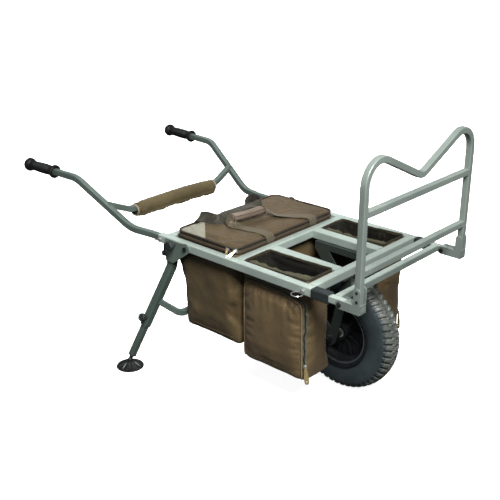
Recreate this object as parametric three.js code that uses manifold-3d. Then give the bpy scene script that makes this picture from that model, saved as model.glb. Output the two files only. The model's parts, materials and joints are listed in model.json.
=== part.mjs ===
// A one-wheeled game cart: a flat deck of square steel tube with a pneumatic wheel under it, two
// slide-out handles, two adjustable legs, a folding front rack on a telescopic extension, and bags.
//
// Millimetres, +X forward (handles at the back, rack in front), +Y left, +Z up.
// Pieces are laid out in the deck's frame: x = 0 at the deck's rear face, y = 0 in its middle
// plane, z = 0 on top of its rails. The whole group then moves so that the origin is under the
// middle of the cart, on the ground.

import * as THREE from 'three';
import { mergeVertices } from 'three/addons/utils/BufferGeometryUtils.js';
import Module from 'manifold-3d';

const wasm = await Module();
wasm.setup();

// ---------------------------------------------------------------- driving dimensions

const DECK_LENGTH = 612;
const DECK_WIDTH = 560;
const DECK_HEIGHT = 450; // top of the rails above the ground

const RAIL = 27; // deck tubes, square
const RAIL_WALL = 2.6;
const RAIL_REAR = -18; // the side rails run past the deck at both ends
const RAIL_FRONT = 616;
const TUBE = 21; // tubes that slide in the rails, and the light frame tubes
const TUBE_WALL = 2;
const GAP = 0.3; // between touching pieces

const BAG_BAY_LENGTH = 275; // rear bay, between rear and middle cross rails
const INNER_RAIL_INSIDE = 90; // half width of the middle bay
const INNER_RAIL_WIDTH = 36;

const WHEEL_X = 541;
const TYRE_RADIUS = 193; // 3.50-8 pneumatic
const RIM_LIP_RADIUS = 114.7;
const HUB_RADIUS = 26;
const BEARING_RADIUS = 17.3;
const AXLE_RADIUS = 7.5;
const FORK_INSIDE = 78;
const FORK_PLATE = 5;

const GRIP_LENGTH = 150;
const GRIP_BORE = 14.2;

const RACK_X = 772; // centre plane of the rack's posts
const RACK_PIVOT_X = 717;
const RACK_HALF_WIDTH = 270.9;
const RACK_TUBE = 20;
const EXTENSION_REAR = 380;
const EXTENSION_FRONT = 727;

const LEG_X = 32; // the leg's top, under the rail
const LEG_KNEE_Z = -95;
const FOOT_PIVOT = new THREE.Vector3(-50, -400, -425);
const FOOT_RADIUS = 46;

const BAG_DEPTH = 302;
const POUCH_DEPTH = 322;
const CLOTH = 4; // thickness of the bags' walls

// ---------------------------------------------------------------- derived dimensions

const RAIL_Y = DECK_WIDTH / 2 - RAIL / 2;
const RAIL_Z = -RAIL / 2;
const RAIL_INSIDE = DECK_WIDTH / 2 - RAIL;
const TUBE_OUTSIDE = RAIL_Y + TUBE / 2; // outer face of the tubes in the rails
const MIDDLE_RAIL_X = RAIL + BAG_BAY_LENGTH;
const FRONT_RAIL_X = DECK_LENGTH - RAIL;
const WHEEL_Z = TYRE_RADIUS - DECK_HEIGHT;
const SIDES = { right: -1, left: 1 };

const LEG_KNEE = new THREE.Vector3(LEG_X, -RAIL_Y, LEG_KNEE_Z);
const LEG_LINE = FOOT_PIVOT.clone().sub(LEG_KNEE);
const LEG_DIRECTION = LEG_LINE.clone().normalize();
const LEG_TO_PIVOT = LEG_LINE.length();
const LEG_TUBE_END = 232; // distances down the leg from its knee
const INNER_LEG_TOP = 100;
const INNER_LEG_END = 344;
const LEG_KNOB_AT = 202;
const LEG_CROSS_AT = 134;

// ---------------------------------------------------------------- materials

const finish = (color, roughness, metalness) =>
  new THREE.MeshStandardMaterial({ color, roughness, metalness });

const PAINT = finish(0x76877e, 0.45, 0.3);
const BLACK_PLASTIC = finish(0x1b1e20, 0.5, 0);
const GRIP_RUBBER = finish(0x141616, 0.8, 0);
const TYRE_RUBBER = finish(0x23282e, 0.75, 0);
const RIM_PLASTIC = finish(0x0f1113, 0.4, 0);
const ZINC = finish(0xb9bcb8, 0.3, 0.9);
const BAG_CLOTH = finish(0x5b4a34, 0.85, 0);
const PAD_CLOTH = finish(0x5f5338, 0.9, 0);

const cart = new THREE.Group();
cart.name = 'cart';

// ---------------------------------------------------------------- solids

function add(name, geometry, material, position = [0, 0, 0], quaternion = null) {
  const mesh = new THREE.Mesh(geometry, material);
  mesh.name = name;
  mesh.position.set(...position);
  if (quaternion) mesh.quaternion.copy(quaternion);
  cart.add(mesh);
  return mesh;
}

function toSolid(geometry) {
  const bare = geometry.clone();
  bare.deleteAttribute('normal');
  bare.deleteAttribute('uv');
  const merged = mergeVertices(bare, 1e-4);
  return new wasm.Manifold(new wasm.Mesh({
    numProp: 3,
    vertProperties: merged.attributes.position.array,
    triVerts: new Uint32Array(merged.index.array),
  }));
}

function toGeometry(solid) {
  const mesh = solid.getMesh();
  const geometry = new THREE.BufferGeometry();
  geometry.setAttribute('position', new THREE.BufferAttribute(mesh.vertProperties, 3));
  geometry.setIndex(new THREE.BufferAttribute(mesh.triVerts, 1));
  geometry.computeVertexNormals();
  return geometry;
}

const join = (...geometries) => toGeometry(geometries.map(toSolid).reduce((a, b) => a.add(b)));

const cut = (geometry, ...tools) =>
  toGeometry(tools.map(toSolid).reduce((left, tool) => left.subtract(tool), toSolid(geometry)));

// A box between two corners.
function block([x0, y0, z0], [x1, y1, z1]) {
  const box = new THREE.BoxGeometry(Math.abs(x1 - x0), Math.abs(y1 - y0), Math.abs(z1 - z0));
  return box.translate((x0 + x1) / 2, (y0 + y1) / 2, (z0 + z1) / 2);
}

// A round bar between two points.
function bar(from, to, radius, segments = 16) {
  const start = new THREE.Vector3(...from);
  const line = new THREE.Vector3(...to).sub(start);
  const rod = new THREE.CylinderGeometry(radius, radius, line.length(), segments);
  const turn = new THREE.Quaternion().setFromUnitVectors(
    new THREE.Vector3(0, 1, 0), line.clone().normalize());
  rod.applyQuaternion(turn);
  return rod.translate(...start.addScaledVector(line, 0.5).toArray());
}

function roundedRectangle(Outline, width, height, radius) {
  const outline = new Outline();
  const x = width / 2 - radius;
  const y = height / 2 - radius;
  outline.moveTo(-x, -height / 2);
  outline.absarc(x, -y, radius, -Math.PI / 2, 0);
  outline.absarc(x, y, radius, 0, Math.PI / 2);
  outline.absarc(-x, y, radius, Math.PI / 2, Math.PI);
  outline.absarc(-x, -y, radius, Math.PI, 1.5 * Math.PI);
  return outline;
}

// A tube's section: first measure across the normal, second across the binormal.
function tubeSection(height, width, wall, corner) {
  const section = roundedRectangle(THREE.Shape, height, width, corner);
  if (wall > 0) {
    const inside = new THREE.Path();
    const x = height / 2 - wall;
    const y = width / 2 - wall;
    inside.moveTo(-x, -y).lineTo(x, -y).lineTo(x, y).lineTo(-x, y).lineTo(-x, -y);
    section.holes.push(inside);
  }
  return section;
}

// A centre line through corner points whose inner corners are bent to a radius. Straight runs
// have one step. The section has the given normal at the start or the middle of the line, and
// turns about the bends only.
class BentLine extends THREE.Curve {
  constructor(corners, radius, normal, stepsPerBend, anchor) {
    super();
    this.knots = [];
    this.tangents = [];
    const points = corners.map((corner) => new THREE.Vector3(...corner));
    const last = points.length - 1;
    const along = (i) => points[i + 1].clone().sub(points[i]).normalize();
    this.addKnot(points[0], along(0));
    for (let i = 1; i < last; i++) {
      const into = along(i - 1);
      const out = along(i);
      const turn = into.angleTo(out);
      const axis = into.clone().cross(out).normalize();
      const bend = Array.isArray(radius) ? radius[i - 1] : radius;
      const start = points[i].clone().addScaledVector(into, -bend * Math.tan(turn / 2));
      const centre = start.clone().addScaledVector(axis.clone().cross(into), bend);
      const spoke = start.clone().sub(centre);
      for (let step = 0; step <= stepsPerBend; step++) {
        const angle = (turn * step) / stepsPerBend;
        const knot = spoke.clone().applyAxisAngle(axis, angle).add(centre);
        this.addKnot(knot, into.clone().applyAxisAngle(axis, angle));
      }
    }
    this.addKnot(points[last], along(last - 1));
    this.normal = normal;
    this.anchorKnot = anchor === 'middle' ? Math.floor(this.steps / 2) : 0;
  }

  addKnot(point, tangent) {
    this.knots.push(point.clone());
    this.tangents.push(tangent.clone());
  }

  get steps() {
    return this.knots.length - 1;
  }

  getPoint(t, target = new THREE.Vector3()) {
    const place = t * this.steps;
    const index = Math.min(Math.floor(place + 1e-9), this.steps - 1);
    return target.copy(this.knots[index]).lerp(this.knots[index + 1], place - index);
  }

  getPointAt(u, target) {
    return this.getPoint(u, target);
  }

  computeFrenetFrames() {
    const { tangents, anchorKnot } = this;
    const normals = [];
    const across = new THREE.Vector3(...this.normal).projectOnPlane(tangents[anchorKnot]);
    normals[anchorKnot] = across.normalize();
    const carried = (from, to) => normals[from].clone().applyQuaternion(
      new THREE.Quaternion().setFromUnitVectors(tangents[from], tangents[to]));
    for (let i = anchorKnot + 1; i < tangents.length; i++) normals[i] = carried(i - 1, i);
    for (let i = anchorKnot - 1; i >= 0; i--) normals[i] = carried(i + 1, i);
    const binormals = normals.map((normal, i) => tangents[i].clone().cross(normal));
    return { tangents, normals, binormals };
  }
}

// A tube swept along a bent line. Its height lies along the normal.
function tube(corners, {
  radius = 60, normal = [0, 0, 1], height = TUBE, width = TUBE, wall = TUBE_WALL, corner = 3,
  stepsPerBend = 4, anchor = 'start',
} = {}) {
  const line = new BentLine(corners, radius, normal, stepsPerBend, anchor);
  return new THREE.ExtrudeGeometry(tubeSection(height, width, wall, corner), {
    steps: line.steps, curveSegments: 2, extrudePath: line,
  });
}

// A round hole for a flat outline.
function roundHole(x, y, radius, sides = 16) {
  const points = [];
  for (let i = 0; i < sides; i++) {
    const angle = (i * 2 * Math.PI) / sides;
    points.push(new THREE.Vector2(x + radius * Math.cos(angle), y + radius * Math.sin(angle)));
  }
  return new THREE.Path(points);
}

// A plate in the XZ plane, from its outline, between two values of y.
function plateXZ(shape, y0, y1, curveSegments = 8) {
  const plate = new THREE.ExtrudeGeometry(shape, {
    depth: Math.abs(y1 - y0), bevelEnabled: false, curveSegments,
  });
  plate.rotateX(Math.PI / 2);
  return plate.translate(0, Math.max(y0, y1), 0);
}

// A solid of revolution about +Y through [radius, along] points, closed on itself or on the axis.
function turned(profile, segments) {
  return new THREE.LatheGeometry(profile.map(([r, y]) => new THREE.Vector2(r, y)), segments);
}

const ring = (inner, outer, from, to, segments) =>
  turned([[inner, from], [outer, from], [outer, to], [inner, to], [inner, from]], segments);

function hexagonal(acrossFlats, from, to) {
  const prism = new THREE.CylinderGeometry(
    acrossFlats / Math.sqrt(3), acrossFlats / Math.sqrt(3), Math.abs(to - from), 6);
  return prism.translate(0, (from + to) / 2, 0);
}

// ---------------------------------------------------------------- deck

const PIN_X = { handle: -10, rack: 588 };
const PLATE_KNOB_X = 60;
const LEG_BOLT_X = 111;
const LEG_BOLT_Z = -16;
const HANDLE_KNOB_X = 2;
const SCREW_HOLE = 4.4;
const PIN_HOLE = 3.6;

function sideRail(side) {
  const rail = tube([[RAIL_REAR, side * RAIL_Y, RAIL_Z], [RAIL_FRONT, side * RAIL_Y, RAIL_Z]],
    { height: RAIL, width: RAIL, wall: RAIL_WALL });
  const outerWallHole = (x, z, radius) =>
    bar([x, side * RAIL_Y, z], [x, side * (RAIL_Y + RAIL), z], radius);
  return cut(rail,
    outerWallHole(PIN_X.handle, RAIL_Z, PIN_HOLE),
    outerWallHole(PIN_X.rack, RAIL_Z, PIN_HOLE),
    outerWallHole(PLATE_KNOB_X, RAIL_Z, SCREW_HOLE),
    outerWallHole(LEG_BOLT_X, LEG_BOLT_Z, SCREW_HOLE),
    bar([HANDLE_KNOB_X, side * RAIL_Y, RAIL_Z], [HANDLE_KNOB_X, side * RAIL_Y, -RAIL * 2],
      SCREW_HOLE));
}

function crossRail(x) {
  const end = RAIL_INSIDE - GAP;
  return tube([[x + RAIL / 2, -end, RAIL_Z], [x + RAIL / 2, end, RAIL_Z]],
    { height: RAIL, width: RAIL, wall: RAIL_WALL });
}

function innerRail(side) {
  const y = side * (INNER_RAIL_INSIDE + INNER_RAIL_WIDTH / 2);
  return tube([[MIDDLE_RAIL_X + RAIL + GAP, y, RAIL_Z], [FRONT_RAIL_X - GAP, y, RAIL_Z]],
    { height: RAIL, width: INNER_RAIL_WIDTH, wall: RAIL_WALL });
}

const BUSH = 30;
const BUSH_FRONT = 676;

function railBush(side) {
  const start = RAIL_FRONT + GAP;
  const bush = tube([[start, side * RAIL_Y, RAIL_Z], [BUSH_FRONT, side * RAIL_Y, RAIL_Z]],
    { height: BUSH, width: BUSH, wall: (BUSH - TUBE) / 2 - GAP, corner: 4 });
  return bush;
}

for (const [name, side] of Object.entries(SIDES)) {
  add(`side_rail_${name}`, sideRail(side), PAINT);
  add(`inner_rail_${name}`, innerRail(side), PAINT);
  add(`rail_bush_${name}`, railBush(side), BLACK_PLASTIC);
}
add('rear_cross_rail', crossRail(0), PAINT);
add('middle_cross_rail', crossRail(MIDDLE_RAIL_X), PAINT);
add('front_cross_rail', crossRail(FRONT_RAIL_X), PAINT);

// ---------------------------------------------------------------- wheel and fork

// One side of the fork: a V of two struts with a foot under the deck.
function fork(side) {
  const top = -RAIL - GAP;
  const hubEnd = 24;
  const outline = new THREE.Shape();
  outline.moveTo(350, top);
  outline.lineTo(DECK_LENGTH, top);
  outline.lineTo(DECK_LENGTH, top - 24);
  outline.lineTo(WHEEL_X + hubEnd, WHEEL_Z);
  outline.absarc(WHEEL_X, WHEEL_Z, hubEnd, 0, -Math.PI * 0.8, true);
  outline.lineTo(350, top - 24);
  const window = new THREE.Path([
    new THREE.Vector2(404, top - 22), new THREE.Vector2(WHEEL_X + 2, WHEEL_Z + 38),
    new THREE.Vector2(580, top - 22),
  ]);
  outline.holes.push(window, roundHole(WHEEL_X, WHEEL_Z, AXLE_RADIUS + GAP, 24));
  const inside = side * FORK_INSIDE;
  const outside = side * (FORK_INSIDE + FORK_PLATE);
  const plate = plateXZ(outline, inside, outside);
  const foot = block([350, inside, top - FORK_PLATE], [DECK_LENGTH, side * 120, top]);
  return join(plate, foot);
}

function rim() {
  const barrel = turned([
    [RIM_LIP_RADIUS, -44], [RIM_LIP_RADIUS, -40.6], [103.4, -36.6], [101.6, -33], [101.6, -24], [90, -14],
    [90, 14], [101.6, 24], [101.6, 33], [103.4, 36.6], [RIM_LIP_RADIUS, 40.6], [RIM_LIP_RADIUS, 44],
    [111, 44], [99.6, 38.6], [97.8, 22.6], [86.4, 12.4], [86.4, -12.4], [97.8, -22.6],
    [99.6, -38.6], [111, -44], [RIM_LIP_RADIUS, -44],
  ], 40);
  const hub = ring(BEARING_RADIUS, HUB_RADIUS, -31, 31, 32);
  const web = ring(HUB_RADIUS - 2, 88, -1.5, 1.5, 40);
  const spokeWidth = 5;
  const spokeHalfDepth = 9;
  const spokes = [];
  const count = 10;
  for (let i = 0; i < count; i++) {
    const curve = new THREE.QuadraticBezierCurve(
      new THREE.Vector2(HUB_RADIUS - 2, 0), new THREE.Vector2(58, 14), new THREE.Vector2(88, 6));
    const points = curve.getPoints(4);
    const shape = new THREE.Shape([
      ...points.map((p) => new THREE.Vector2(p.x, p.y - spokeWidth / 2)),
      ...points.reverse().map((p) => new THREE.Vector2(p.x, p.y + spokeWidth / 2)),
    ]);
    const spoke = plateXZ(shape, -spokeHalfDepth, spokeHalfDepth);
    spokes.push(spoke.rotateY((i * 2 * Math.PI) / count));
  }
  return join(barrel, hub, web, ...spokes);
}

// Half of the tyre's outer and inner outlines, from bead to crown.
const TYRE_OUTSIDE = [
  [102.2, 25], [102.4, 34.6], [112, 37.2], [125, 41], [145, 42.5], [163, 41.2], [177, 36.5],
  [186.5, 28.5], [191.6, 15], [TYRE_RADIUS, 0],
];
const TYRE_INSIDE = [[182, 0], [180, 15], [172, 27], [158, 34], [138, 35], [120, 32], [108, 25]];

function tyre() {
  const mirrored = (points) => points.map(([r, y]) => [r, -y]).reverse();
  const outside = [...TYRE_OUTSIDE, ...mirrored(TYRE_OUTSIDE).slice(1)];
  const inside = [...mirrored(TYRE_INSIDE), ...TYRE_INSIDE.slice(1)];
  return turned([...outside, ...inside, outside[0]].reverse(), 40);
}

// The axle is a bolt: a hexagonal head, two spacer shoulders and a plain shank.
function axle() {
  const shoulder = 11;
  const end = FORK_INSIDE + FORK_PLATE + 15;
  const shank = turned([
    [0, -end], [AXLE_RADIUS, -end], [AXLE_RADIUS, -(FORK_INSIDE - GAP)],
    [shoulder, -(FORK_INSIDE - GAP)], [shoulder, -32], [AXLE_RADIUS, -32], [AXLE_RADIUS, 32],
    [shoulder, 32], [shoulder, FORK_INSIDE - GAP], [AXLE_RADIUS, FORK_INSIDE - GAP],
    [AXLE_RADIUS, end - 6], [0, end - 6],
  ], 24);
  const head = hexagonal(24, FORK_INSIDE + FORK_PLATE + GAP, end - 4);
  return join(shank, head);
}

const WHEEL_CENTRE = [WHEEL_X, 0, WHEEL_Z];
for (const [name, side] of Object.entries(SIDES)) {
  add(`fork_${name}`, fork(side), PAINT);
  const race = ring(AXLE_RADIUS + GAP, BEARING_RADIUS - GAP, side * 25 - 5.5, side * 25 + 5.5, 24);
  add(`wheel_bearing_${name}`, race, ZINC, WHEEL_CENTRE);
}
add('rim', rim(), RIM_PLASTIC, WHEEL_CENTRE);
add('tyre', tyre(), TYRE_RUBBER, WHEEL_CENTRE);
add('axle', axle(), ZINC, WHEEL_CENTRE);
const nutFrom = -(FORK_INSIDE + FORK_PLATE + 10);
const nutTo = -(FORK_INSIDE + FORK_PLATE + GAP);
add('axle_nut', cut(hexagonal(24, nutFrom, nutTo),
  bar([0, nutFrom - 1, 0], [0, nutTo + 1, 0], AXLE_RADIUS + GAP)), ZINC, WHEEL_CENTRE);

// ---------------------------------------------------------------- handles

const HANDLE_CORNERS = [
  [150, RAIL_Y, RAIL_Z], [-62, RAIL_Y, RAIL_Z], [-150, 281, -12], [-374, 326, 127],
  [-626, 340, 129],
];
const GRIP_AXIS = new THREE.Vector3(-252, 14, 2).normalize();
const GRIP_TIP = new THREE.Vector3(-640, 340.8, 129.1);

const toSide = (side) => ([x, y, z]) => [x, side * y, z];

function handle(side, size = TUBE, wall = TUBE_WALL) {
  return tube(HANDLE_CORNERS.map(toSide(side)), {
    radius: [90, 110, 75], normal: [0, 0, 1], height: size, width: size, wall,
  });
}

// A grip along +Y with its closed end at the origin's far side and its mouth at 0.
function grip() {
  const length = GRIP_LENGTH;
  return turned([
    [0, length - 6], [GRIP_BORE, length - 6], [GRIP_BORE, 0], [23, 0], [24, 5], [22, 11],
    [17.6, 15], [17, 26], [17.8, 48], [18.4, 72], [17.8, 100], [17, 118], [17.6, 128], [22, 132],
    [23.6, 139], [21.5, 147], [12, length + 5], [0, length + 6],
  ], 18);
}

const CROSS_TUBE = 20;
const HANDLE_CROSS = { joint: [-249, 299, 54], corner: [-236, 213, 18] };

function handleCrossTube() {
  const { joint, corner } = HANDLE_CROSS;
  const [x, y, z] = corner;
  const bow = tube([
    toSide(-1)(joint), [x, -y, z], [x, y, z], joint,
  ], { radius: 34, height: CROSS_TUBE, width: CROSS_TUBE, anchor: 'middle' });
  const clearance = TUBE + 2 * GAP;
  return cut(bow, handle(-1, clearance, 0), handle(1, clearance, 0));
}

const PAD_HALF_LENGTH = 192;
const PAD_RADIUS = 27;
const PAD_SAG = 9; // the pad's middle hangs below the tube's

// A round pad about the tube, with its bore above its middle.
function handlePad() {
  const section = new THREE.Shape();
  section.absarc(0, -PAD_SAG, PAD_RADIUS, 0, 2 * Math.PI);
  section.holes.push(roundHole(0, 0, CROSS_TUBE * 0.68 + GAP));
  return plateXZ(section, -PAD_HALF_LENGTH, PAD_HALF_LENGTH);
}

for (const [name, side] of Object.entries(SIDES)) {
  add(`handle_${name}`, handle(side), PAINT);
  const outward = GRIP_AXIS.clone();
  outward.y *= side;
  const turn = new THREE.Quaternion().setFromUnitVectors(new THREE.Vector3(0, 1, 0), outward);
  const mouth = GRIP_TIP.clone();
  mouth.y *= side;
  mouth.addScaledVector(outward, -(GRIP_LENGTH + 6));
  add(`grip_${name}`, grip(), GRIP_RUBBER, mouth.toArray(), turn);
}
add('handle_cross_tube', handleCrossTube(), PAINT);
add('handle_pad', handlePad(), PAD_CLOTH, [HANDLE_CROSS.corner[0], 0, HANDLE_CROSS.corner[2]]);

// ---------------------------------------------------------------- front extension and rack

const BOLT_RADIUS = 4;
const BOLT_HOLE = 4.3;
const CHEEK = 3;
const CHANNEL_INSIDE = 255.6; // the bracket's channel straddles the rod and the post
const CHANNEL_OUTSIDE = 281.2;
const BRACKET_FRONT = RACK_X + RACK_TUBE / 2 + GAP + 2;
const CROSS_TUBE_X = 691.5;

function extensionRod(side) {
  const rod = tube([[EXTENSION_REAR, side * RAIL_Y, RAIL_Z],
    [EXTENSION_FRONT, side * RAIL_Y, RAIL_Z]]);
  return cut(rod, bar([RACK_PIVOT_X, side * (RAIL_Y - 30), RAIL_Z],
    [RACK_PIVOT_X, side * (RAIL_Y + 30), RAIL_Z], BOLT_HOLE));
}

function cheekOutline() {
  const armTop = -0.5;
  const armBottom = 2 * RAIL_Z - armTop;
  const earRadius = 11;
  const outline = new THREE.Shape();
  outline.moveTo(BRACKET_FRONT, armBottom);
  outline.lineTo(BRACKET_FRONT, armTop);
  outline.absarc(BRACKET_FRONT - earRadius, 38, earRadius, 0, Math.PI, false);
  outline.lineTo(BRACKET_FRONT - 2 * earRadius, armTop);
  outline.lineTo(RACK_PIVOT_X, armTop);
  outline.absarc(RACK_PIVOT_X, RAIL_Z, armTop - RAIL_Z, Math.PI / 2, 1.5 * Math.PI, false);
  outline.holes.push(roundHole(RACK_PIVOT_X, RAIL_Z, BOLT_HOLE));
  return outline;
}

// An L-shaped channel: two cheeks, a web on top behind the post and a cap in front.
function rackBracket(side) {
  const inner = side * CHANNEL_INSIDE;
  const outer = side * CHANNEL_OUTSIDE;
  const armTop = -0.5;
  const armBottom = 2 * RAIL_Z - armTop;
  return join(
    plateXZ(cheekOutline(), outer, outer + side * CHEEK),
    plateXZ(cheekOutline(), inner - side * CHEEK, inner),
    block([731, inner - side, armTop - CHEEK], [757, outer + side, armTop]),
    block([BRACKET_FRONT - 2, inner - side, armBottom], [BRACKET_FRONT, outer + side, armTop]));
}

function rackHoop() {
  const y = RACK_HALF_WIDTH;
  const corner = 428.5;
  const valley = 301.7;
  return tube([
    [RACK_X, -y, -24], [RACK_X, -y, corner], [RACK_X, 0, valley], [RACK_X, y, corner],
    [RACK_X, y, -24],
  ], { radius: [64, 40, 64], normal: [1, 0, 0], height: RACK_TUBE, width: RACK_TUBE, stepsPerBend: 6 });
}

function rackBar(z) {
  const end = RACK_HALF_WIDTH - RACK_TUBE / 2 - GAP;
  return tube([[RACK_X, -end, z], [RACK_X, end, z]], { height: RACK_TUBE, width: RACK_TUBE });
}

function pivotBolt(side) {
  const outer = CHANNEL_OUTSIDE + CHEEK;
  const inner = CHANNEL_INSIDE - CHEEK;
  const shank = bar([0, side * (inner - 6), 0], [0, side * (outer + 3), 0], BOLT_RADIUS);
  const head = turned([[0, 0], [7.5, 0], [7, 2.6], [4, 4.4], [0, 4.8]], 16);
  if (side < 0) head.rotateX(Math.PI);
  head.translate(0, side * (outer + GAP), 0);
  const nut = hexagonal(13, side * (inner - GAP), side * (inner - 5));
  return join(shank, head, nut);
}

for (const [name, side] of Object.entries(SIDES)) {
  add(`extension_rod_${name}`, extensionRod(side), PAINT);
  add(`rack_bracket_${name}`, rackBracket(side), PAINT);
  add(`rack_pivot_bolt_${name}`, pivotBolt(side), ZINC, [RACK_PIVOT_X, 0, RAIL_Z]);
}
const rodInside = RAIL_Y - TUBE / 2 - GAP;
add('extension_cross_tube',
  tube([[CROSS_TUBE_X, -rodInside, RAIL_Z], [CROSS_TUBE_X, rodInside, RAIL_Z]]), PAINT);
add('rack_hoop', rackHoop(), PAINT);
add('rack_bar_upper', rackBar(254), PAINT);
add('rack_bar_lower', rackBar(88), PAINT);

// ---------------------------------------------------------------- legs

const legPoint = (side, distance) => {
  const point = LEG_KNEE.clone().addScaledVector(LEG_DIRECTION, distance);
  point.y *= -side;
  return point;
};

function legTurn(side) {
  const direction = LEG_DIRECTION.clone();
  direction.y *= -side;
  return new THREE.Quaternion().setFromUnitVectors(new THREE.Vector3(0, 0, -1), direction);
}

function legTube(side, size = RAIL, wall = RAIL_WALL) {
  const knee = legPoint(side, 0).toArray();
  const top = [knee[0], knee[1], -RAIL - GAP];
  const end = legPoint(side, LEG_TUBE_END).toArray();
  return tube([top, knee, end], { radius: 70, normal: [0, 1, 0], height: size, width: size, wall });
}

// Lies in the leg's own frame: the knee at the origin and the foot down -Z.
const legPiece = (from, to, options) => tube([[0, 0, -from], [0, 0, -to]],
  { normal: [0, 1, 0], ...options });

const LEG_CROSS_CORNER = [57, 262, -268];

function legCrossTube() {
  const [x, y, z] = LEG_CROSS_CORNER;
  const bow = tube([
    legPoint(-1, LEG_CROSS_AT).toArray(), [x, -y, z], [x, y, z],
    legPoint(1, LEG_CROSS_AT).toArray(),
  ], { radius: 36, height: CROSS_TUBE, width: CROSS_TUBE, anchor: 'middle' });
  const clearance = RAIL + 2 * GAP;
  return cut(bow, legTube(-1, clearance, 0), legTube(1, clearance, 0));
}

const PLATE = 3.5;
const PLATE_FACE = DECK_WIDTH / 2 + GAP + PLATE; // outer face of the leg plate

function legPlate(side) {
  const outline = new THREE.Shape();
  outline.moveTo(LEG_X - RAIL / 2, -2);
  outline.lineTo(LEG_X - RAIL / 2, -80);
  outline.lineTo(54, -80);
  outline.absarc(LEG_BOLT_X, LEG_BOLT_Z, 18, -Math.PI * 0.3, Math.PI * 0.45, false);
  outline.lineTo(96, -2);
  outline.holes.push(
    roundHole(LEG_BOLT_X, LEG_BOLT_Z, SCREW_HOLE), roundHole(PLATE_KNOB_X, RAIL_Z, SCREW_HOLE));
  return plateXZ(outline, side * (PLATE_FACE - PLATE), side * PLATE_FACE);
}

function legBolt(side) {
  const shank = bar([0, side * (TUBE_OUTSIDE + GAP), 0], [0, side * (PLATE_FACE + 2), 0], BOLT_RADIUS);
  const head = hexagonal(13, side * (PLATE_FACE + GAP), side * (PLATE_FACE + 5.5));
  return join(shank, head);
}

// The foot, turned about +Z through the ball it swivels on.
function foot() {
  const drop = FOOT_PIVOT.z + DECK_HEIGHT;
  const body = turned([
    [0, -drop], [FOOT_RADIUS, -drop], [FOOT_RADIUS, -drop + 3], [15, -5.5], [8.4, -4], [8, 0],
    [7.4, 3], [5.7, 5.7], [3, 7.4], [0, 8],
  ], 20);
  return body.rotateX(Math.PI / 2);
}

function legPlug() {
  const flange = block([-TUBE / 2, -TUBE / 2, -INNER_LEG_END - 4],
    [TUBE / 2, TUBE / 2, -INNER_LEG_END - GAP]);
  const neck = bar([0, 0, -INNER_LEG_END - 1], [0, 0, -LEG_TO_PIVOT + 9], 7);
  return join(flange, neck);
}

for (const [name, side] of Object.entries(SIDES)) {
  const knee = legPoint(side, 0).toArray();
  const turn = legTurn(side);
  add(`leg_plate_${name}`, legPlate(side), PAINT);
  add(`leg_bolt_${name}`, legBolt(side), ZINC, [LEG_BOLT_X, 0, LEG_BOLT_Z]);
  add(`leg_tube_${name}`, legTube(side), PAINT);
  add(`inner_leg_${name}`, legPiece(INNER_LEG_TOP, INNER_LEG_END), PAINT, knee, turn);
  add(`leg_plug_${name}`, legPlug(), BLACK_PLASTIC, knee, turn);
  add(`foot_${name}`, foot(), BLACK_PLASTIC, [FOOT_PIVOT.x, -side * FOOT_PIVOT.y, FOOT_PIVOT.z]);
}
add('leg_cross_tube', legCrossTube(), PAINT);

// ---------------------------------------------------------------- knobs and pins

// A lobed hand knob on a screw: base at 0, the grip from `reach` on, along +Y.
function knob(screw, reach, height, radius) {
  const lobes = new THREE.Shape();
  const points = 24;
  for (let i = 0; i < points; i++) {
    const angle = (i * 2 * Math.PI) / points;
    const r = radius * (1 - 0.09 * (1 - Math.cos(6 * angle)) / 2);
    const place = [r * Math.cos(angle), r * Math.sin(angle)];
    if (i === 0) lobes.moveTo(...place);
    else lobes.lineTo(...place);
  }
  const head = plateXZ(lobes, reach, reach + height);
  return join(
    bar([0, -screw, 0], [0, reach + 1, 0], BOLT_RADIUS),
    bar([0, GAP, 0], [0, reach + 1, 0], 8),
    head);
}

// A pull pin along +Y: shank behind 0, head in front, and a wire ring hung on the head.
function pullPin(shank) {
  const loop = new THREE.TorusGeometry(17, 1.4, 5, 18);
  loop.translate(6, 20, -5.6);
  return join(
    bar([0, -shank, 0], [0, 2, 0], 3.2),
    bar([0, GAP, 0], [0, 8, 0], 6),
    loop);
}

// Pieces made along +Y point outwards; on the right a half turn about Z does it.
const outwards = (side) => new THREE.Quaternion().setFromAxisAngle(
  new THREE.Vector3(0, 0, 1), side < 0 ? Math.PI : 0);
const railFace = DECK_WIDTH / 2;
const wallReach = railFace - TUBE_OUTSIDE - GAP; // through the rail's wall, short of the tube

for (const [name, side] of Object.entries(SIDES)) {
  const out = outwards(side);
  add(`plate_knob_${name}`, knob(PLATE_FACE - TUBE_OUTSIDE - GAP, 12, 15, 16), BLACK_PLASTIC,
    [PLATE_KNOB_X, side * PLATE_FACE, RAIL_Z], out);
  const down = new THREE.Quaternion().setFromUnitVectors(
    new THREE.Vector3(0, 1, 0), new THREE.Vector3(0, 0, -1));
  add(`handle_knob_${name}`, knob(wallReach, 30, 12, 14.5), BLACK_PLASTIC,
    [HANDLE_KNOB_X, side * RAIL_Y, -RAIL], down);
  const turn = legTurn(side);
  const face = new THREE.Vector3(0, side, 0).applyQuaternion(turn);
  const place = legPoint(side, LEG_KNOB_AT).addScaledVector(face, RAIL / 2);
  const onLeg = new THREE.Quaternion().setFromUnitVectors(new THREE.Vector3(0, 1, 0), face);
  add(`leg_knob_${name}`, knob(-GAP, 12, 13, 14), BLACK_PLASTIC, place.toArray(), onLeg);
  for (const [use, x] of Object.entries(PIN_X)) {
    add(`${use}_pin_${name}`, pullPin(wallReach), ZINC, [x, side * railFace, RAIL_Z], out);
  }
}

// ---------------------------------------------------------------- bags

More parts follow.
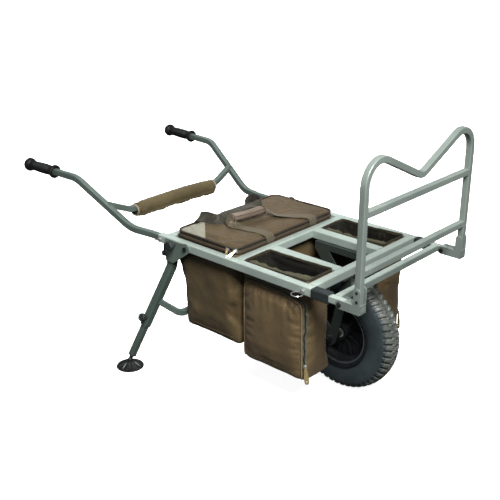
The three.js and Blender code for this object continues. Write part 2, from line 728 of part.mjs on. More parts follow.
// The bag's outline from the side, inside its bay at the top and leaning in below it.
function bagOutline(inset) {
  const rear = 30 + inset;
  const front = MIDDLE_RAIL_X - 3 - inset;
  const lean = 84 + inset;
  const bottom = -BAG_DEPTH + inset;
  const outline = new THREE.Shape();
  outline.moveTo(rear, 4 + inset);
  outline.lineTo(rear, -30);
  outline.quadraticCurveTo(lean - 8, -120, lean, -208);
  outline.lineTo(lean, bottom + 14);
  outline.quadraticCurveTo(lean, bottom, lean + 14, bottom);
  outline.lineTo(front - 14, bottom);
  outline.quadraticCurveTo(front, bottom, front, bottom + 14);
  outline.lineTo(front, 4 + inset);
  return outline;
}

const BAG_HALF_WIDTH = 249;
add('bag_body', cut(
  plateXZ(bagOutline(0), -BAG_HALF_WIDTH, BAG_HALF_WIDTH, 5),
  plateXZ(bagOutline(CLOTH), -BAG_HALF_WIDTH + CLOTH, BAG_HALF_WIDTH - CLOTH, 5)), BAG_CLOTH);

const LID = { rear: 31, front: 298, halfWidth: 247, bottom: 4.6, top: 25, corner: 34 };

function bagLid() {
  const panel = new THREE.ExtrudeGeometry(
    roundedRectangle(THREE.Shape, LID.front - LID.rear, 2 * LID.halfWidth, LID.corner),
    { depth: LID.top - LID.bottom, bevelEnabled: false, curveSegments: 6 });
  return panel.translate((LID.rear + LID.front) / 2, 0, LID.bottom);
}
add('bag_lid', bagLid(), BAG_CLOTH);

// A pouch's outline from the front. It fills its bay and swells a little under the side rail.
function pouchOutline(inset, top) {
  const inside = 129 + inset;
  const throat = 250 - inset;
  const swell = 257 - inset;
  const bottom = -POUCH_DEPTH + inset;
  const corner = 12;
  return [
    [inside, top], [throat, top], [throat, -32], [swell, -52], [swell, bottom + corner],
    [swell - corner, bottom], [inside + corner, bottom], [inside, bottom + corner],
  ];
}

function pouchSolid(side, inset, top) {
  const shape = new THREE.Shape(pouchOutline(inset, top).map(([y, z]) => new THREE.Vector2(y, z)));
  const rear = MIDDLE_RAIL_X + RAIL + 3 + inset;
  const front = FRONT_RAIL_X - 4 - inset;
  const solid = new THREE.ExtrudeGeometry(shape, { depth: front - rear, bevelEnabled: false });
  // The outline's axes become +Y and +Z, and its depth becomes +X.
  solid.applyMatrix4(new THREE.Matrix4().makeBasis(
    new THREE.Vector3(0, 1, 0), new THREE.Vector3(0, 0, 1), new THREE.Vector3(1, 0, 0)));
  solid.translate(rear, 0, 0);
  return side < 0 ? solid.rotateZ(Math.PI).translate(rear + front, 0, 0) : solid;
}

for (const [name, side] of Object.entries(SIDES)) {
  add(`pouch_${name}`, cut(pouchSolid(side, 0, -2), pouchSolid(side, CLOTH, 2)), BAG_CLOTH);
}

// ---------------------------------------------------------------- on the ground, centred

const bounds = new THREE.Box3().setFromObject(cart, true);
cart.position.set(-(bounds.min.x + bounds.max.x) / 2, 0, DECK_HEIGHT);

export default cart;
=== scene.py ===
"""A game cart's looks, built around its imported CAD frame.

Lengths and places in this script are millimetres in the deck's frame: x = 0 at the rear face of
the rear cross rail, y = 0 in the middle plane (+y left), z = 0 on top of the rails.
"""

import json
import math
import random

import bmesh
import bpy
import numpy as np
from mathutils import Matrix, Vector, noise
from mathutils.bvhtree import BVHTree


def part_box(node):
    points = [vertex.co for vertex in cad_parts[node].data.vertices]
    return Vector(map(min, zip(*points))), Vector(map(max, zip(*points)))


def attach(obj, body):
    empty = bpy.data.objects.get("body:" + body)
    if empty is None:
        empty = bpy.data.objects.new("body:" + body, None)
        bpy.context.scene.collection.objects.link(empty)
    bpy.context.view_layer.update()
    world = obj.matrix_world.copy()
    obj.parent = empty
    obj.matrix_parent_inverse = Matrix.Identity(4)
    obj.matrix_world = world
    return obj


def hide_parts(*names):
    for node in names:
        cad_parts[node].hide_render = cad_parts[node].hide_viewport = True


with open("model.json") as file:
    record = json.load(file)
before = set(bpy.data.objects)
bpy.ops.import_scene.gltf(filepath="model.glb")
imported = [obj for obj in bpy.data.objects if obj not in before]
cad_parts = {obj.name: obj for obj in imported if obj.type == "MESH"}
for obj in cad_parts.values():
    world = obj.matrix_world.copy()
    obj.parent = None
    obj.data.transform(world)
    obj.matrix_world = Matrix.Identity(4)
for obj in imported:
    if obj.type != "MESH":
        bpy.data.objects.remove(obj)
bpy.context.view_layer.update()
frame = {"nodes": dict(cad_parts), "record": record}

MM = 0.001
REAR_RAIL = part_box("rear_cross_rail")
DECK = np.array([REAR_RAIL[0].x, 0, REAR_RAIL[1].z])
SIDES = {"right": -1, "left": 1}
random.seed(7)


def at(point):
    """A point or an array of points, from the deck's millimetres to the row frame's metres."""
    return np.asarray(point, float) * MM + DECK


def millimetres(point):
    """The other way round."""
    return (np.asarray(point, float) - DECK) / MM


def node_box(node):
    """A CAD node's lowest and highest corners, in deck millimetres."""
    low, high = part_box(node)
    return millimetres(low), millimetres(high)


def unit(vectors):
    """Each vector with a length of 1."""
    vectors = np.asarray(vectors, float)
    return vectors / np.linalg.norm(vectors, axis=-1, keepdims=True)


def upright(up, ahead):
    """up, turned square to ahead, with a length of 1."""
    up = np.asarray(up, float)
    return unit(up - ahead * (up * ahead).sum(-1, keepdims=True))


# ---- materials

BLACK_TONE = (0, 0, 0)
DUST = (92, 100, 104)
BARE_METAL = (184, 190, 186)


def colour(tone):
    """A linear colour from display values, 0 to 255."""
    def linear(value):
        value /= 255
        return value / 12.92 if value <= 0.04045 else ((value + 0.055) / 1.055) ** 2.4
    return (*map(linear, tone), 1)


class Finish:
    """A Principled material whose inputs are noise, ramps and waves over the piece itself."""

    def __init__(self, name, **sockets):
        self.material = bpy.data.materials.new(name)
        self.material.use_nodes = True
        self.nodes = self.material.node_tree.nodes
        self.links = self.material.node_tree.links
        self.shader = self.nodes["Principled BSDF"]
        for socket, value in sockets.items():
            self.shader.inputs[socket.replace("_", " ")].default_value = value
        self.place = self.nodes.new("ShaderNodeTexCoord").outputs["Object"]

    def feed(self, socket, value):
        """Links an output to a socket, or sets the socket to a plain value."""
        if isinstance(value, bpy.types.NodeSocket):
            self.links.new(value, socket)
        else:
            socket.default_value = value

    def node(self, kind, settings=None, **inputs):
        node = self.nodes.new("ShaderNode" + kind)
        for key, value in (settings or {}).items():
            setattr(node, key, value)
        for key, value in inputs.items():
            self.feed(node.inputs[key.replace("_", " ")], value)
        return node

    def turned(self, rotation=(0, 0, 0), scale=(1, 1, 1)):
        mapping = self.node("Mapping", Vector=self.place)
        mapping.inputs["Rotation"].default_value = rotation
        mapping.inputs["Scale"].default_value = scale
        return mapping.outputs["Vector"]

    def noise(self, scale, detail=3.0, roughness=0.5, stretch=(1, 1, 1)):
        return self.node("TexNoise", Vector=self.turned(scale=stretch), Scale=scale,
                         Detail=detail, Roughness=roughness).outputs["Fac"]

    def wave(self, scale, rotation, distortion):
        return self.node("TexWave", {"wave_type": "BANDS", "bands_direction": "X"},
                         Vector=self.turned(rotation), Scale=scale, Distortion=distortion,
                         Detail_Scale=1.5).outputs["Fac"]

    def ramp(self, value, *stops):
        ramp = self.node("ValToRGB", Fac=value)
        elements = ramp.color_ramp.elements
        while len(elements) < len(stops):
            elements.new(0.5)
        for element, (place, stop) in zip(elements, stops):
            element.position = place
            element.color = stop if len(stop) == 4 else (*stop, 1)
        return ramp.outputs["Color"]

    def mask(self, value, start, end, strength=1.0):
        """Nothing below the start, rising to the strength at the end."""
        return self.ramp(value, (start, BLACK_TONE), (end, (strength,) * 3))

    def tone(self, value, start, end, dark, light):
        """From the dark display colour to the light one."""
        return self.ramp(value, (start, colour(dark)), (end, colour(light)))

    def grey(self, value):
        return self.node("CombineColor", Red=value, Green=value, Blue=value).outputs[0]

    def level(self, value, low, high, start=0.0, end=1.0):
        return self.node("MapRange", Value=value, From_Min=start, From_Max=end,
                         To_Min=low, To_Max=high).outputs["Result"]

    def mix(self, factor, first, second, blend="MIX"):
        node = self.node("Mix", {"data_type": "RGBA", "blend_type": blend})
        for index, value in ((0, factor), (6, first), (7, second)):
            self.feed(node.inputs[index], value)
        return node.outputs[2]

    def crossed(self, scale, distortion):
        """Two sets of waves across each other, as of threads."""
        waves = (self.wave(scale, (0, 0, math.radians(45)), distortion),
                 self.wave(scale, (math.radians(45), 0, math.radians(90)), distortion))
        node = self.node("Math", {"operation": "MULTIPLY"})
        for socket, wave in zip(node.inputs, waves):
            self.links.new(wave, socket)
        return node.outputs[0]

    def bump(self, height, strength, distance, below=None):
        node = self.node("Bump", Height=height, Strength=strength, Distance=distance)
        if below is not None:
            self.links.new(below, node.inputs["Normal"])
        return node.outputs["Normal"]

    def give(self, **outputs):
        for socket, value in outputs.items():
            self.links.new(value, self.shader.inputs[socket.replace("_", " ")])
        return self.material


def paint(name, dark, light):
    """Grey-green metallic paint with soft mottling, fine flake, dust and rubbed spots."""
    f = Finish(name, Metallic=0.3, Coat_Weight=0.3, Coat_Roughness=0.22)
    mottle = f.tone(f.noise(9, 4), 0.3, 0.7, dark, light)
    flake = f.grey(f.level(f.noise(2600, 1), 0.88, 1.1, 0.3, 0.7))
    grain = f.mix(0.6, mottle, f.mix(1, mottle, flake, "MULTIPLY"))
    scuffs = f.mask(f.noise(60, 6, 0.7, (1, 1, 0.35)), 0.68, 0.75, 0.6)
    worn = f.mix(scuffs, grain, colour(BARE_METAL))
    rough = f.level(f.noise(35, 5, 0.6), 0.28, 0.46, 0.3, 0.7)
    relief = f.bump(f.noise(420, 3), 0.08, 0.0006)
    return f.give(Base_Color=worn, Roughness=rough, Normal=relief)


def moulded(name, dark, light, roughness=(0.38, 0.6), grain=900):
    """Moulded plastic: slightly mottled, with a fine leather-like spark-eroded grain."""
    f = Finish(name, Specular_IOR_Level=0.45)
    tone = f.tone(f.noise(26, 4), 0.35, 0.7, dark, light)
    rough = f.level(f.noise(60, 4), *roughness, 0.3, 0.7)
    return f.give(Base_Color=tone, Roughness=rough, Normal=f.bump(f.noise(grain, 2), 0.18, 0.0005))


def rubber(name, dark, light, dusty=0.25):
    """Rubber with a dusty bloom and a faint skin texture."""
    f = Finish(name, Specular_IOR_Level=0.45)
    bloom = f.tone(f.noise(14, 5, 0.6), 0.35, 0.72, dark, light)
    dust = f.mask(f.noise(240, 4, 0.65), 0.58, 0.72, dusty)
    tone = f.mix(dust, bloom, colour(DUST))
    rough = f.level(f.noise(40, 4), 0.36, 0.56, 0.3, 0.7)
    return f.give(Base_Color=tone, Roughness=rough, Normal=f.bump(f.noise(650, 3), 0.2, 0.0006))


def plated(name, dark, light, roughness=(0.34, 0.5)):
    """Plated steel with faint handling marks."""
    f = Finish(name, Metallic=0.75)
    tone = f.tone(f.noise(70, 4), 0.3, 0.7, dark, light)
    rough = f.level(f.noise(180, 5, 0.6), *roughness, 0.3, 0.7)
    return f.give(Base_Color=tone, Roughness=rough, Normal=f.bump(f.noise(500, 2), 0.06, 0.0004))


def brass(name, dark, light):
    """Dull brass, with a mottled tone."""
    f = Finish(name, Metallic=0.4, Roughness=0.34)
    return f.give(Base_Color=f.tone(f.noise(200, 4), 0.3, 0.7, dark, light))


CLOTH_THREAD, FINE_THREAD, TAPE_THREAD = 0.00125, 0.0009, 0.0008
# A wave texture's bands in one unit at a scale of 1.
WAVES_PER_SCALE = 20


def cloth(name, dark, light, thread=CLOTH_THREAD, roughness=0.62, blotches=None):
    """Woven cloth: threads that cross on every side, a slow change of tone, and fine lint."""
    f = Finish(name, Sheen_Weight=0.05, Sheen_Roughness=0.45, Specular_IOR_Level=0.3)
    weave = f.crossed(math.sqrt(2) / (thread * WAVES_PER_SCALE), 0.8)
    tone = f.tone(f.noise(7, 3, 0.5), 0.3, 0.7, dark, light)
    if blotches:
        tone = f.mix(f.mask(f.noise(38, 4, 0.65), 0.47, 0.53), tone, colour(blotches[0]))
        sparse = f.mask(f.noise(27, 5, 0.7, (1, 1.4, 0.8)), 0.57, 0.62)
        tone = f.mix(sparse, tone, colour(blotches[1]))
    tone = f.mix(1, tone, f.grey(f.level(weave, 0.93, 1.05)), "MULTIPLY")
    tone = f.mix(f.mask(f.noise(900, 3, 0.7), 0.62, 0.75, 0.18), tone, colour(light))
    rough = f.level(f.noise(30, 4), roughness - 0.08, roughness + 0.1, 0.3, 0.7)
    rumple = f.bump(f.noise(60, 5, 0.6), 0.3, 0.004)
    relief = f.bump(weave, 0.35, 0.0006, rumple)
    return f.give(Base_Color=tone, Roughness=rough, Normal=relief)


def webbing(name, dark, light):
    """Ribbed strap webbing."""
    f = Finish(name, Sheen_Weight=0.1, Sheen_Roughness=0.5)
    weave = f.crossed(36, 0.3)
    tone = f.tone(weave, 0.1, 0.8, dark, light)
    tone = f.mix(f.mask(f.noise(120, 5, 0.7), 0.6, 0.75, 0.5), tone, colour(light))
    rough = f.level(f.noise(50, 3), 0.6, 0.85, 0.3, 0.7)
    return f.give(Base_Color=tone, Roughness=rough, Normal=f.bump(weave, 0.5, 0.0008))


PAINT = paint("frame_paint", (140, 153, 147), (158, 171, 164))
PLATE_PAINT = paint("plate_paint", (90, 104, 97), (106, 120, 112))
# Painted shade: the rack, handle and fork paints are the frame paint made darker. The forks' stands
# for the dark bay round the wheel, the handles' for the shade on their undersides, and the rack's
# keeps its tubes darker than the deck's.
SHADED_RACK_PAINT = paint("shaded_rack_paint", (110, 121, 116), (127, 137, 132))
LEG_PAINT = paint("leg_paint", (62, 75, 70), (78, 91, 85))
SHADED_HANDLE_PAINT = paint("shaded_handle_paint", (76, 89, 84), (94, 106, 101))
SHADED_FORK_PAINT = paint("shaded_fork_paint", (40, 47, 44), (58, 66, 62))
BLACK = moulded("black_plastic", (26, 32, 31), (40, 47, 46))
RIM = moulded("rim_plastic", (12, 13, 15), (24, 26, 29), (0.28, 0.42))
BUSH = moulded("bush_plastic", (24, 28, 29), (36, 41, 42), (0.36, 0.5))
FOOT = moulded("foot_plastic", (8, 11, 12), (15, 19, 20), (0.36, 0.55))
GRIP = rubber("grip_rubber", (2, 4, 3), (6, 9, 8), 0.04)
TYRE = rubber("tyre_rubber", (34, 42, 45), (48, 57, 60))
# Tread rubber: lighter than the sidewall, with more dust and a painted highlight on the blocks.
DUSTY_LIT_TREAD = rubber("dusty_lit_tread_rubber", (62, 66, 63), (86, 89, 84), 0.35)
# Painted highlight: the rim's dark plastic made grey for its flange, which reads as a pale lit ring.
LIT_FLANGE = moulded("lit_flange_plastic", (44, 50, 52), (60, 67, 69), (0.26, 0.4))
ZINC = plated("zinc", (150, 154, 152), (188, 191, 189), (0.24, 0.4))
PULL = plated("lid_pull", (140, 137, 122), (176, 173, 158))
BOLT = plated("dark_bolt", (34, 37, 38), (58, 62, 63))
BRASS = brass("pull_brass", (138, 122, 80), (170, 154, 110))
BAG = cloth("bag_cloth", (67, 57, 37), (82, 69, 46), roughness=0.5)
# Painted shade: nearly black cloth for the pouches' inner walls, which face the dark bay round the
# wheel.
PAINTED_SHADE = cloth("painted_shade_cloth", (14, 13, 9), (21, 20, 14), roughness=0.7)
# Painted light: the bag's cloth made lighter for the pouches, which stand in more light than the
# bag's body.
LIT_POUCH_CLOTH = cloth("lit_pouch_cloth", (77, 64, 44), (94, 79, 55), roughness=0.46)
LID = cloth("lid_cloth", (58, 48, 32), (70, 59, 40), roughness=0.56)
PATCH = cloth("patch_cloth", (103, 103, 92), (120, 120, 108))
PIPING = cloth("piping_cloth", (98, 83, 62), (122, 105, 80), FINE_THREAD)
EDGE = cloth("edge_cloth", (36, 29, 22), (52, 41, 31), FINE_THREAD)
TAPE = cloth("zip_tape", (66, 65, 52), (86, 84, 69), TAPE_THREAD)
# Nearly black lining: its own dark mottled tone, darkened further as painted shade for the insides
# of the pouches, the bag and the lid.
LINING_AND_SHADE = cloth("lining_and_shade_cloth", (9, 10, 6), (16, 16, 10), roughness=0.6,
               blotches=((20, 20, 13), (38, 37, 25)))
KHAKI = cloth("flap_cloth", (44, 43, 28), (62, 60, 40), roughness=0.7,
              blotches=((54, 53, 35), (84, 82, 57)))
BINDING_DARK = cloth("mouth_binding", (30, 27, 19), (46, 41, 29), FINE_THREAD)
EDGE_LIGHT = cloth("edge_light", (62, 50, 36), (78, 64, 46), FINE_THREAD)
PAD = cloth("pad_cloth", (66, 58, 38), (82, 73, 49), roughness=0.6)
BINDING = cloth("pad_binding", (112, 102, 84), (136, 125, 105), FINE_THREAD)
FOAM = cloth("pad_inside", (18, 17, 15), (28, 26, 23), FINE_THREAD)
WEBBING = webbing("strap_webbing", (54, 47, 32), (78, 69, 48))
DARK_WEBBING = webbing("dark_webbing", (28, 26, 17), (46, 42, 29))
WRAP = cloth("wrap_cloth", (84, 74, 64), (106, 95, 83), FINE_THREAD, 0.5)
ZIP_TEETH = moulded("zip_teeth", (26, 25, 21), (46, 44, 38))

# ---- making pieces


def placed(name, data):
    """A new object in the scene."""
    made = bpy.data.objects.new(name, data)
    bpy.context.scene.collection.objects.link(made)
    return made


def piece(name, points, faces, material, body, smooth=40, materials=(), replaces=(), slot=None):
    """A mesh from points in deck millimetres, riding on a body. The slot argument is not used."""
    mesh = bpy.data.meshes.new(name)
    mesh.from_pydata([tuple(p) for p in at(points)], [], faces)
    mesh.validate()
    made = placed(name, mesh)
    for one in (material, *materials):
        mesh.materials.append(one)
    soften(mesh, smooth)
    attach(made, body)
    if replaces:
        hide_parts(*replaces)
    return made


def soften(mesh, angle):
    """Smooth shading, with a hard line only at edges sharper than the angle."""
    mesh.polygons.foreach_set("use_smooth", [True] * len(mesh.polygons))
    mesh.set_sharp_from_angle(angle=math.radians(angle))


def modifier(made, kind, **settings):
    added = made.modifiers.new(kind.lower(), kind)
    for key, value in settings.items():
        setattr(added, key, value)


def smoothed(made):
    modifier(made, "SUBSURF", levels=1, render_levels=1)


def bevelled(made, width):
    modifier(made, "BEVEL", width=width * MM, segments=2, limit_method="ANGLE")


def lined(made):
    """Cloth with a thickness, and the lining (material 1) on its inner face."""
    modifier(made, "SOLIDIFY", thickness=CLOTH * MM, offset=-1, material_offset=1,
             material_offset_rim=0)
    smoothed(made)


def repaint(made, index, chosen):
    """Another of a piece's materials on the faces whose middle and normal pass the test."""
    for polygon in made.data.polygons:
        if chosen(millimetres(polygon.center), polygon.normal):
            polygon.material_index = index


def polished(node, material, bevel, smooth=50):
    """A finer copy of a CAD node: its edges broken, and its bends and rounds shaded smooth."""
    source = frame["nodes"][node]
    work = bmesh.new()
    work.from_mesh(source.data)
    bmesh.ops.remove_doubles(work, verts=work.verts, dist=1e-5)
    bmesh.ops.dissolve_limit(work, angle_limit=math.radians(0.4), verts=work.verts,
                             edges=work.edges)
    mesh = bpy.data.meshes.new(node + "_finish")
    work.to_mesh(mesh)
    work.free()
    made = placed(node + "_finish", mesh)
    mesh.materials.clear()
    mesh.materials.append(material)
    soften(mesh, smooth)
    modifier(made, "BEVEL", width=bevel * MM, segments=2, limit_method="ANGLE",
             angle_limit=math.radians(smooth), harden_normals=True)
    modifier(made, "WEIGHTED_NORMAL", keep_sharp=True)
    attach(made, BODY_OF[node])
    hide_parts(node)
    return made


BODY_OF = {node: body for body, nodes in frame["record"]["behaviour"]["bodies"].items()
           for node in nodes}
SLOT_OF = {row["node"]: row["material_slot"] for row in frame["record"]["subparts"]}


def grid_faces(rows, columns):
    """Faces of an open sheet of rows and columns of points."""
    return [(i * columns + j, i * columns + j + 1, (i + 1) * columns + j + 1,
             (i + 1) * columns + j) for i in range(rows - 1) for j in range(columns - 1)]


def tube_faces(rows, size, closed=False):
    """Faces through rows of rings, joined end to end when closed and capped when not."""
    faces = []
    for i in range(rows if closed else rows - 1):
        j = (i + 1) % rows
        for k in range(size):
            m = (k + 1) % size
            faces.append((i * size + k, i * size + m, j * size + m, j * size + k))
    if not closed:
        faces.append(tuple(range(size - 1, -1, -1)))
        faces.append(tuple((rows - 1) * size + k for k in range(size)))
    return faces


def sweep(path, section, normals=None, closed=False):
    """Points and faces of a section carried along a path. Section points are (normal, side)."""
    path = np.asarray(path, float)
    ahead = np.roll(path, -1, 0) - np.roll(path, 1, 0)
    if not closed:
        ahead[0] = path[1] - path[0]
        ahead[-1] = path[-1] - path[-2]
    ahead = unit(ahead)
    if normals is None:
        normal = np.cross(ahead[0], [0, 0, 1.0])
        if np.linalg.norm(normal) < 0.1:
            normal = np.cross(ahead[0], [0, 1.0, 0])
        normals = []
        for direction in ahead:
            normal = upright(normal, direction)
            normals.append(normal)
    normals = upright(normals, ahead)
    sides = np.cross(ahead, normals)
    section = np.asarray(section, float)
    points = path[:, None] + normals[:, None] * section[:, :1] + sides[:, None] * section[:, 1:]
    return points.reshape(-1, 3), tube_faces(len(path), len(section), closed)


def circle(radius, sides):
    """A round section."""
    angles = np.arange(sides) * 2 * math.pi / sides
    return np.stack([radius * np.cos(angles), radius * np.sin(angles)], 1)


def flat(thickness, width, columns=6):
    """A strap's section: thin across the normal, with rounded edges."""
    half = width / 2 - thickness / 2
    across = np.linspace(-half, half, columns)
    lower = [(-thickness / 2, s) for s in across]
    upper = [(thickness / 2, s) for s in across[::-1]]
    return np.array(lower + [(0, half + thickness / 2)] + upper + [(0, -half - thickness / 2)])


def smooth_path(points, count, closed=False):
    """A Catmull-Rom line through the points, spaced evenly."""
    points = np.asarray(points, float)
    if closed:
        points = np.vstack([points[-1], points, points[0], points[1]])
    else:
        points = np.vstack([2 * points[0] - points[1], points, 2 * points[-1] - points[-2]])
    line = []
    for i in range(1, len(points) - 2):
        a, b, c, d = points[i - 1:i + 3]
        for t in np.linspace(0, 1, 24, endpoint=False):
            line.append(0.5 * (2 * b + (c - a) * t + (2 * a - 5 * b + 4 * c - d) * t ** 2
                               + (3 * b - a - 3 * c + d) * t ** 3))
    line.append(points[-2])
    return even(np.array(line), count, closed)


def even(line, count, closed=False):
    """The same line, with its points spaced evenly."""
    line = np.asarray(line, float)
    steps = np.linalg.norm(np.diff(line, axis=0), axis=1)
    length = np.concatenate([[0], np.cumsum(steps)])
    places = np.linspace(0, length[-1], count, endpoint=not closed)
    return np.stack([np.interp(places, length, line[:, i]) for i in range(line.shape[1])], 1)


def rounded(x0, x1, y0, y1, radius, arc=8):
    """A rounded rectangle's corner points in its plane, going round once."""
    centres = [(x1 - radius, y0 + radius, -90), (x1 - radius, y1 - radius, 0),
               (x0 + radius, y1 - radius, 90), (x0 + radius, y0 + radius, 180)]
    return [(x + radius * math.cos(math.radians(start + 90 * i / arc)),
             y + radius * math.sin(math.radians(start + 90 * i / arc)))
            for x, y, start in centres for i in range(arc + 1)]


def lathe(profile, sides, centre, axis):
    """Points and faces of a profile of (radius, along) turned about an axis through a centre."""
    axis = unit(axis)
    across = unit(np.cross(axis, [0, 0, 1.0] if abs(axis[2]) < 0.9 else [1.0, 0, 0]))
    up = np.cross(axis, across)
    points = []
    for r, along in profile:
        for k in range(sides):
            angle = math.tau * k / sides
            points.append(np.asarray(centre) + axis * along
                          + (across * math.cos(angle) + up * math.sin(angle)) * r)
    return np.array(points), tube_faces(len(profile), sides)


def joined(*parts):
    """Several (points, faces) as one."""
    points, faces, count = [], [], 0
    for some_points, some_faces in parts:
        points.append(np.asarray(some_points, float))
        faces += [tuple(v + count for v in face) for face in some_faces]
        count += len(some_points)
    return np.vstack(points), faces


# ---- camera, light and floor

CAMERA_PLACE = (1966.7, -2025.8, 1008.5)
AZIMUTH, ELEVATION, ROLL = 42.17, 22.03, 0.14
LENS = 62.2
# The floor's half width and the backdrop's radius, in metres.
FLOOR, BACKDROP = 40.0, 38.0
# The world's strength, and the heights of direction between which it turns from dim to pale.
DOME = 0.2
HORIZON = (-0.09, -0.05)
AIM = (300, 0, 0)
# Each lamp: its place, its size in metres and its power in watts.
LAMPS = {"key": ((2300, -1400, 2700), 1.5, 345), "back": ((-1700, 2000, 1900), 1.8, 170)}


def camera():
    """The camera for the main view."""
    data = bpy.data.cameras.new("camera")
    data.lens = LENS
    data.clip_end = 50
    made = placed("camera", data)
    turn = (Matrix.Rotation(math.radians(AZIMUTH), 4, "Z")
            @ Matrix.Rotation(math.radians(90 - ELEVATION), 4, "X")
            @ Matrix.Rotation(math.radians(ROLL), 4, "Z"))
    made.matrix_world = Matrix.Translation(at(CAMERA_PLACE)) @ turn
    bpy.context.scene.camera = made


def studio():
    """A large soft lamp over the front, a weaker one behind, a pale dome and a plain floor."""
    scene = bpy.context.scene
    scene.view_settings.view_transform = "Standard"
    world = bpy.data.worlds.new("studio")
    world.use_nodes = True
    nodes, links = world.node_tree.nodes, world.node_tree.links
    place = nodes.new("ShaderNodeTexCoord")
    height = nodes.new("ShaderNodeSeparateXYZ")
    ramp = nodes.new("ShaderNodeValToRGB")
    links.new(place.outputs["Generated"], height.inputs[0])
    share = nodes.new("ShaderNodeMapRange")
    share.inputs["From Min"].default_value, share.inputs["From Max"].default_value = HORIZON
    links.new(height.outputs["Z"], share.inputs["Value"])
    links.new(share.outputs["Result"], ramp.inputs["Fac"])
    low, high = ramp.color_ramp.elements
    low.position, low.color = 0.0, (0.42, 0.43, 0.43, 1)
    high.position, high.color = 1.0, (0.96, 0.99, 1, 1)
    links.new(ramp.outputs["Color"], nodes["Background"].inputs["Color"])
    nodes["Background"].inputs["Strength"].default_value = DOME
    scene.world = world
    for name, (place, size, power) in LAMPS.items():
        data = bpy.data.lights.new(name, "AREA")
        data.shape, data.size, data.energy = "DISK", size, power
        data.color = (1, 0.985, 0.965)
        lamp = placed(name, data)
        lamp.location = Vector(at(place))
        lamp.rotation_euler = (lamp.location - Vector(at(AIM))).to_track_quat("Z", "Y").to_euler()
        lamp.visible_camera = False
        lamp.visible_glossy = name == "key"
    mesh = bpy.data.meshes.new("floor")
    corners = ((-1, -1), (1, -1), (1, 1), (-1, 1))
    mesh.from_pydata([(FLOOR * x, FLOOR * y, 0) for x, y in corners], [], [(0, 1, 2, 3)])
    floor = placed("floor", mesh)
    floor.visible_diffuse = floor.visible_glossy = False
    f = Finish("floor", Roughness=0.9, Specular_IOR_Level=0.2, Emission_Strength=0.9)
    f.shader.inputs["Emission Color"].default_value = (1, 1, 1, 1)
    mesh.materials.append(f.give(Base_Color=f.ramp(
        f.noise(3), (0.3, (0.88, 0.885, 0.885)), (0.7, (0.9, 0.9, 0.9)))))
    backdrop(floor.data.materials[0])


def backdrop(material):
    """A pale shell far round the floor, there for the camera alone."""
    mesh = bpy.data.meshes.new("backdrop")
    work = bmesh.new()
    bmesh.ops.create_uvsphere(work, u_segments=48, v_segments=24, radius=BACKDROP)
    work.to_mesh(mesh)
    work.free()
    mesh.materials.append(material)
    shell = placed("backdrop", mesh)
    shell.visible_diffuse = shell.visible_glossy = shell.visible_shadow = False
    shell.visible_transmission = False


# ---- frame and hardware


def hard_parts():
    """The CAD's own metal and moulded parts, with finer edges."""
    # Darker copies of the frame paint by part; those of the rack, handles and forks are painted
    # shade.
    coats = {"leg_plate": PLATE_PAINT, "leg": LEG_PAINT, "inner_leg": LEG_PAINT,
             "handle": SHADED_HANDLE_PAINT, "fork": SHADED_FORK_PAINT, "rack": SHADED_RACK_PAINT}
    for node in [n for n, s in SLOT_OF.items() if s == "frame_paint"]:
        coat = next((c for start, c in coats.items() if node.startswith(start)), PAINT)
        polished(node, coat, 0.7)
    for node in [n for n, s in SLOT_OF.items() if s == "zinc"]:
        polished(node, BOLT if "bolt" in node or "axle" in node else ZINC, 0.4, 35)
    for side in SIDES:
        polished(f"rail_bush_{side}", BUSH, 1.2)
        polished(f"leg_plug_{side}", BLACK, 0.8)
        for knob in ("plate_knob", "handle_knob", "leg_knob"):
            polished(f"{knob}_{side}", BLACK, 1.6, 35)
    polished("rim", RIM, 0.8, 35)


# ---- wheel

LUGS = 54
TREAD_DEPTH = 6.0
HALF_TREAD = 38.0
# Radii from the wheel's middle: over the tread, where the tread is cut from, where its lighter,
# dustier rubber with a painted highlight begins, the thin rings on the sidewall, and the rim's
# flange.
TYRE_RADIUS, SHOULDER, TREAD_EDGE, MOULD_RINGS, FLANGE_RADIUS = 193, 176, 180, (121, 133, 168), 100.5


def tyre_profile():
    """Outer outline from one bead to the other, as (radius, y), with its share across the tread."""
    half = [(102.4, 33.5), (104, 35.6), (112, 37.4), (118, 39.0), (126, 41.0), (145, 42.5),
            (163, 41.4), (172, 39.0), (178, 36.0), (184, 31.0), (188.5, 24.5), (191.3, 16.5),
            (192.6, 8.5), (TYRE_RADIUS, 0)]
    return smooth_path([*half, *[(r, -y) for r, y in half[-2::-1]]], 76)


def step(value, edge, width):
    """0 below the edge, 1 above it, with a slope between."""
    t = np.clip((value - edge) / width + 0.5, 0, 1)
    return t * t * (3 - 2 * t)


def tread(share, theta):
    """Height of the tread, 0 in the grooves and 1 on the blocks."""
    pitch = math.tau / LUGS
    away = np.abs(share)
    phase = theta / pitch + np.where(share > 0, 0.5, 0) + 0.45 * away
    wave = np.abs((phase % 1) - 0.5) * 2
    bars = 1 - step(wave, 0.58, 0.14)
    zigzag = 0.05 * (np.abs((theta / pitch % 1) - 0.5) * 4 - 1)
    middle = 1 - step(np.abs(share + zigzag), 0.17, 0.05)
    middle = middle * (0.45 + 0.55 * step(np.abs((theta / pitch + 0.25) % 1 - 0.5), 0.10, 0.06))
    channel = step(away + zigzag, 0.31, 0.05)
    return np.maximum(middle, bars * channel) * (1 - step(away, 1.06, 0.08))


